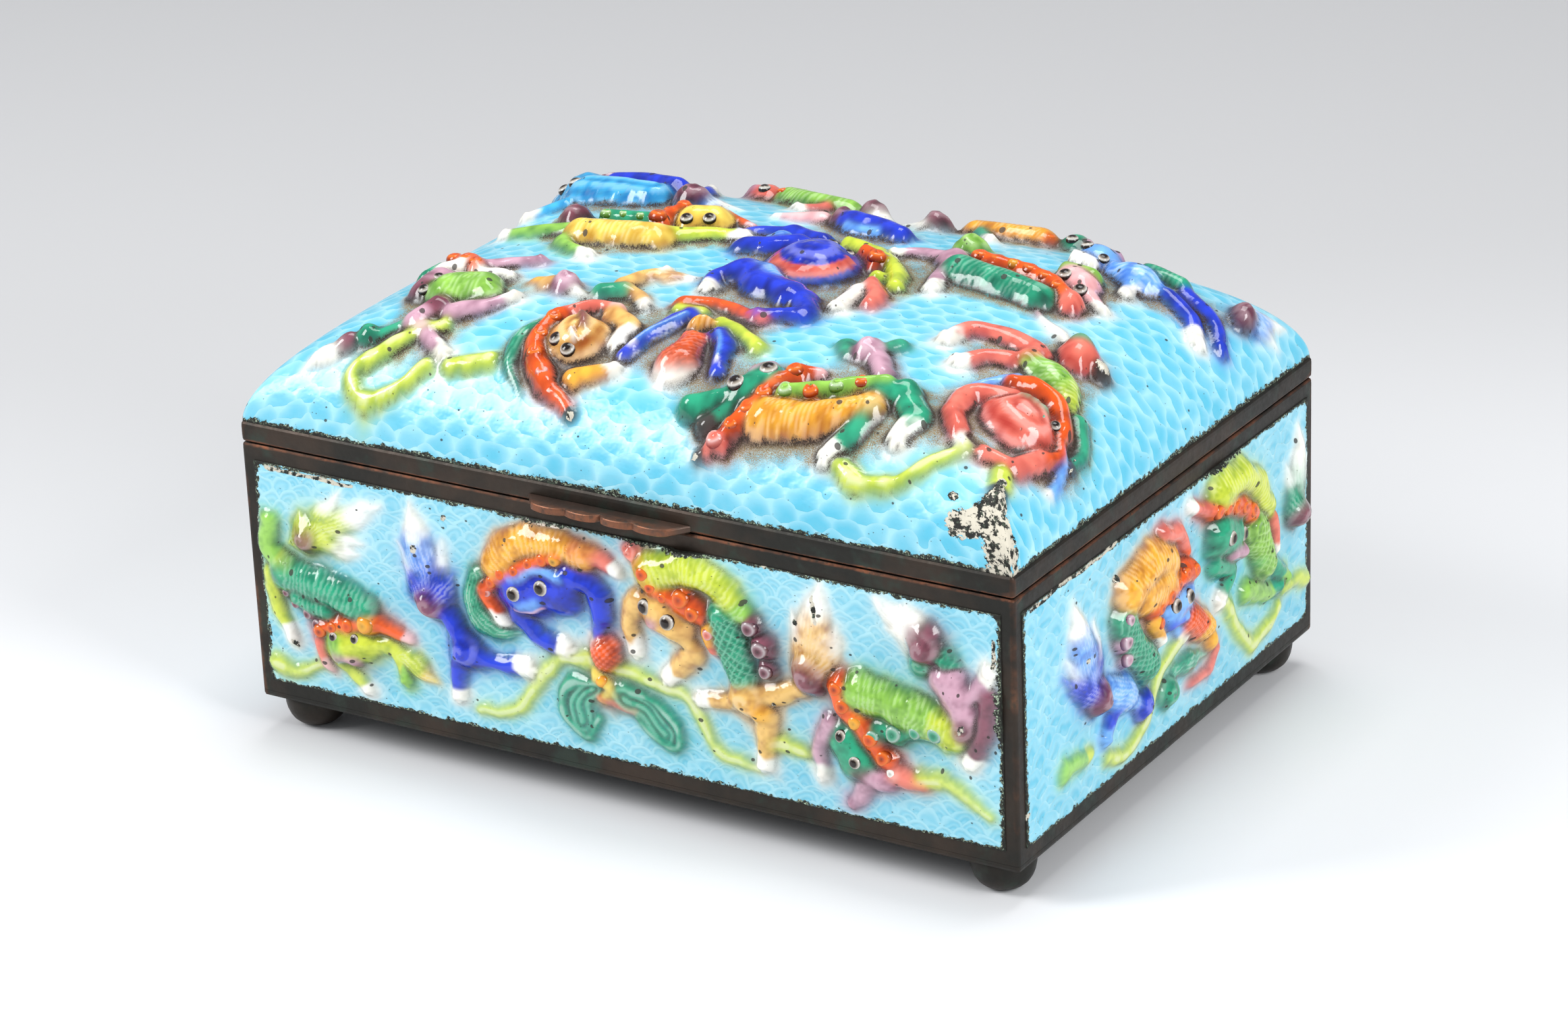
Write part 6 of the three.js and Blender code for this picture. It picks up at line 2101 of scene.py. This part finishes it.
@dataclass
class Studio:
    """The pale floor, the soft lights and the camera.

    Attributes:
        boxes: The lights.
        aim: Where they point.
        sky: The colour of the sky, and its strength.
        floor_half: Half the floor's width in metres.
        sweep: Where the floor begins to sweep up, with its radius, and the top of the backdrop, in metres.
        focal_length: The lens in millimetres, for a sensor that is 36 wide.
        azimuth: How far round the box the camera stands, in degrees.
        elevation: How far it looks down, in degrees.
        roll: How far it is tilted, in degrees.
        distance: How far away it is, in millimetres.
        shift: Where the middle of the picture is, in millimetres across and up.
    """

    boxes: tuple[SoftBox, ...] = (
        SoftBox("left_softbox", (-0.62, -0.55, 0.62), (0.34, 0.5), 7.4),
        SoftBox("right_softbox", (0.86, -0.22, 0.56), (0.34, 0.5), 6.6),
        SoftBox("top_softbox", (0.0, 0.2, 0.95), (0.6, 0.4), 4.6),
    )
    aim: Corner = (0, 0, 0.04)
    sky: tuple[Corner, float] = ((0.93, 0.96, 1.0), 0.46)
    floor_half: float = 2.5
    sweep: Corner = (0.9, 0.5, 1.6)
    focal_length: float = 110.4
    azimuth: float = 32.35
    elevation: float = 22.76
    roll: float = -2.37
    distance: float = 840.8
    shift: Spot = (1.09, -25.96)

    def build(self) -> None:
        """Builds the stage, the lights and the camera."""
        self.floor()
        self.lights()
        self.camera()

    def floor(self) -> None:
        """Builds a floor that sweeps up into a backdrop."""
        start, radius, top = self.sweep
        profile = [(back, 0.0) for back in (-1.2, 0.0, 0.5, start)]
        for angle in np.linspace(0.1, math.pi / 2, 14):
            profile.append((start + radius * math.sin(angle), radius * (1 - math.cos(angle))))
        profile.append((start + radius, top))
        points, faces = [], []
        for back, height in profile:
            points += [(side * self.floor_half * 1000, back * 1000, height * 1000 - 0.02) for side in (-1, 1)]
        for row in range(len(profile) - 1):
            faces.append([2 * row, 2 * row + 1, 2 * row + 3, 2 * row + 2])
        floor = new_piece("floor", np.array(points), faces)
        w = Wiring("white_paper")
        place = w.place()
        x, y, _ = w.split(place)
        # Painted shade: the floor and backdrop turn from pale to grey the further they lie from the camera,
        # in place of the light falling off.
        far = w.step(y * 0.845 + x * -0.62, -0.1, 0.24)
        cloud = w.noise(place, 3.0, 3.0)
        colour = w.mix(far, (226, 227, 229), (190, 190, 191))
        colour = w.mix(cloud * 0.06, colour, (206, 209, 214))
        normal = w.bump(w.noise(place, 400, 2.0), 0.05 * MM, 0.3)
        w.surface(Base_Color=colour, Roughness=0.7, Normal=normal)
        floor.data.materials.append(w.material)

    def lights(self) -> None:
        """Adds three soft boxes and a pale sky."""
        for box in self.boxes:
            data = bpy.data.lights.new(box.name, "AREA")
            data.shape = "RECTANGLE"
            data.size, data.size_y = box.size
            data.energy = box.power
            light = bpy.data.objects.new(box.name, data)
            light.location = box.place
            way = Vector(self.aim) - Vector(box.place)
            light.rotation_euler = way.to_track_quat("-Z", "Y").to_euler()
            bpy.context.scene.collection.objects.link(light)
        world = bpy.data.worlds.new("pale_sky")
        world.use_nodes = True
        colour, strength = self.sky
        sky = world.node_tree.nodes["Background"]
        sky.inputs["Color"].default_value = (*colour, 1)
        sky.inputs["Strength"].default_value = strength
        bpy.context.scene.world = world
        bpy.context.scene.view_settings.view_transform = "Standard"

    def camera(self) -> None:
        """Places the camera that took the photograph."""
        az, el, roll = (math.radians(angle) for angle in (self.azimuth, self.elevation, self.roll))
        back = Vector((math.sin(az) * math.cos(el), -math.cos(az) * math.cos(el), math.sin(el)))
        right = Vector((math.cos(az), math.sin(az), 0))
        up = back.cross(right)
        r = math.cos(roll) * right + math.sin(roll) * up
        u = -math.sin(roll) * right + math.cos(roll) * up
        place = back * self.distance - r * self.shift[0] - u * self.shift[1]
        data = bpy.data.cameras.new("camera")
        data.lens = self.focal_length
        data.sensor_width = 36
        data.clip_start, data.clip_end = 0.05, 20
        camera = bpy.data.objects.new("camera", data)
        turned = Matrix((r, u, back)).transposed().to_4x4()
        turned.translation = (place + Vector((0, 0, SIZES.body_foot))) * MM
        camera.matrix_world = turned
        bpy.context.scene.collection.objects.link(camera)
        bpy.context.scene.camera = camera


LID_WEARS = (
    Wear(((69.2, -48.6), (71.2, -50.6), (73, -52.3)), 3.6),
    Wear(((64.6, -50.6), (68.6, -50.4)), 2.7, 0.95),
    Wear(((67.9, -44.6), (68.8, -46.8)), 1.5, 0.8),
    Wear(((62.1, -48.2),), 1.0),
    Wear(((15.4, -49.9),), 1.0, 0.8),
    Wear(((-9.6, -48.9),), 1.1, 0.8),
    Wear(((64.6, -4.4),), 1.8, 0.7),
    Wear(((71.6, -26), (72, -30)), 0.6, 0.6),
)

LONG_WEARS = (
    Wear(((35.6, 36.4),), 0.9, 0.85),
    Wear(((29.8, 44),), 0.5, 0.9),
    Wear(((-33.4, 41),), 0.7, 0.9),
    Wear(((71.4, 40), (71.8, 36)), 0.5, 0.8),
    Wear(((38.6, 41.6), (40, 37.4)), 0.55, 0.7),
    Wear(((-38.4, 35.4),), 1.2, 0.75),
    Wear(((-65.8, 12.4),), 0.8, 0.75),
    Wear(((-70, 43.6), (-52, 43.4)), 0.5, 0.75),
    Wear(((66.4, 24.4),), 1.1, 0.6),
    Wear(((30.8, 21.4),), 0.7, 0.7),
)

SHORT_WEARS = (
    Wear(((-20.6, 38.4),), 0.8, 0.9),
    Wear(((-50, 9),), 0.8, 0.9),
    Wear(((-48, 44), (-20, 44.2)), 0.5, 0.7),
    Wear(((-33, 29.6),), 1.0, 0.7),
)


def main() -> None:
    """Builds the box around its frame."""
    logging.basicConfig(level=logging.INFO, format="%(message)s")
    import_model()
    low_waves = ScaleGround(width=4.2, rise=1.7, reach=(2.5, 2.7), ripples=2.6, outline=0.34, depth=0.08,
                            wash=0.34)
    high_waves = ScaleGround(width=5.4, rise=2.6, reach=(3.1, 3.7), ripples=2.0, outline=0.5, depth=0.12,
                             wash=0.2)
    lid_enamel = Enamel("lid_enamel", ScaleGround()).material()
    long_enamel = Enamel("long_plate_enamel", low_waves).material()
    short_enamel = Enamel("short_plate_enamel", high_waves).material()
    bead_enamel = BeadEnamel("bead_enamel").material()
    dark = Copper("dark_copper").material()
    bright = Copper("bright_copper", dark=(52, 44, 39), brown=(84, 64, 54), worn=(136, 90, 68), bright=0.2,
                    roughness=0.42).material()
    lining = Lining("turquoise_lining").material()
    Case(dark, lining).build()
    LidFrame(dark, bright, lining).build()
    Hinge(bright).build()
    long_figures = LongPlateFigures().all()
    short_figures = ShortPlateFigures().all()
    far_long_figures = [figure.mirrored() for figure in long_figures]
    far_short_figures = [figure.mirrored() for figure in short_figures]
    long_half = SIZES.length / 2 - SIZES.plate_margin
    short_half = SIZES.depth / 2 - SIZES.plate_margin
    long_face = SIZES.depth / 2 + SIZES.plate_proud
    short_face = SIZES.length / 2 + SIZES.plate_proud
    for node, origin, turn, half, figures, wears, step, enamel in (
        ("front_plate", (0, -long_face), 0, long_half, long_figures, LONG_WEARS, 0.25, long_enamel),
        ("right_plate", (short_face, 0), 90, short_half, short_figures, SHORT_WEARS, 0.25, short_enamel),
        ("back_plate", (0, long_face), 180, long_half, far_long_figures, (), 0.34, long_enamel),
        ("left_plate", (-short_face, 0), 270, short_half, far_short_figures, (), 0.34, short_enamel),
    ):
        relief = Relief(PlateSheet(origin, turn, half, step), figures, wears, seed=len(node) + int(half))
        EnamelPanel(node, "body", relief, enamel, bead_enamel).build()
    relief = Relief(DomeSheet(0.4, 0.65), LidFigures().all(), LID_WEARS, seed=5)
    EnamelPanel("lid_dome", "lid", relief, lid_enamel, bead_enamel).build()
    Studio().build()


if __name__ == "__main__":
    main()
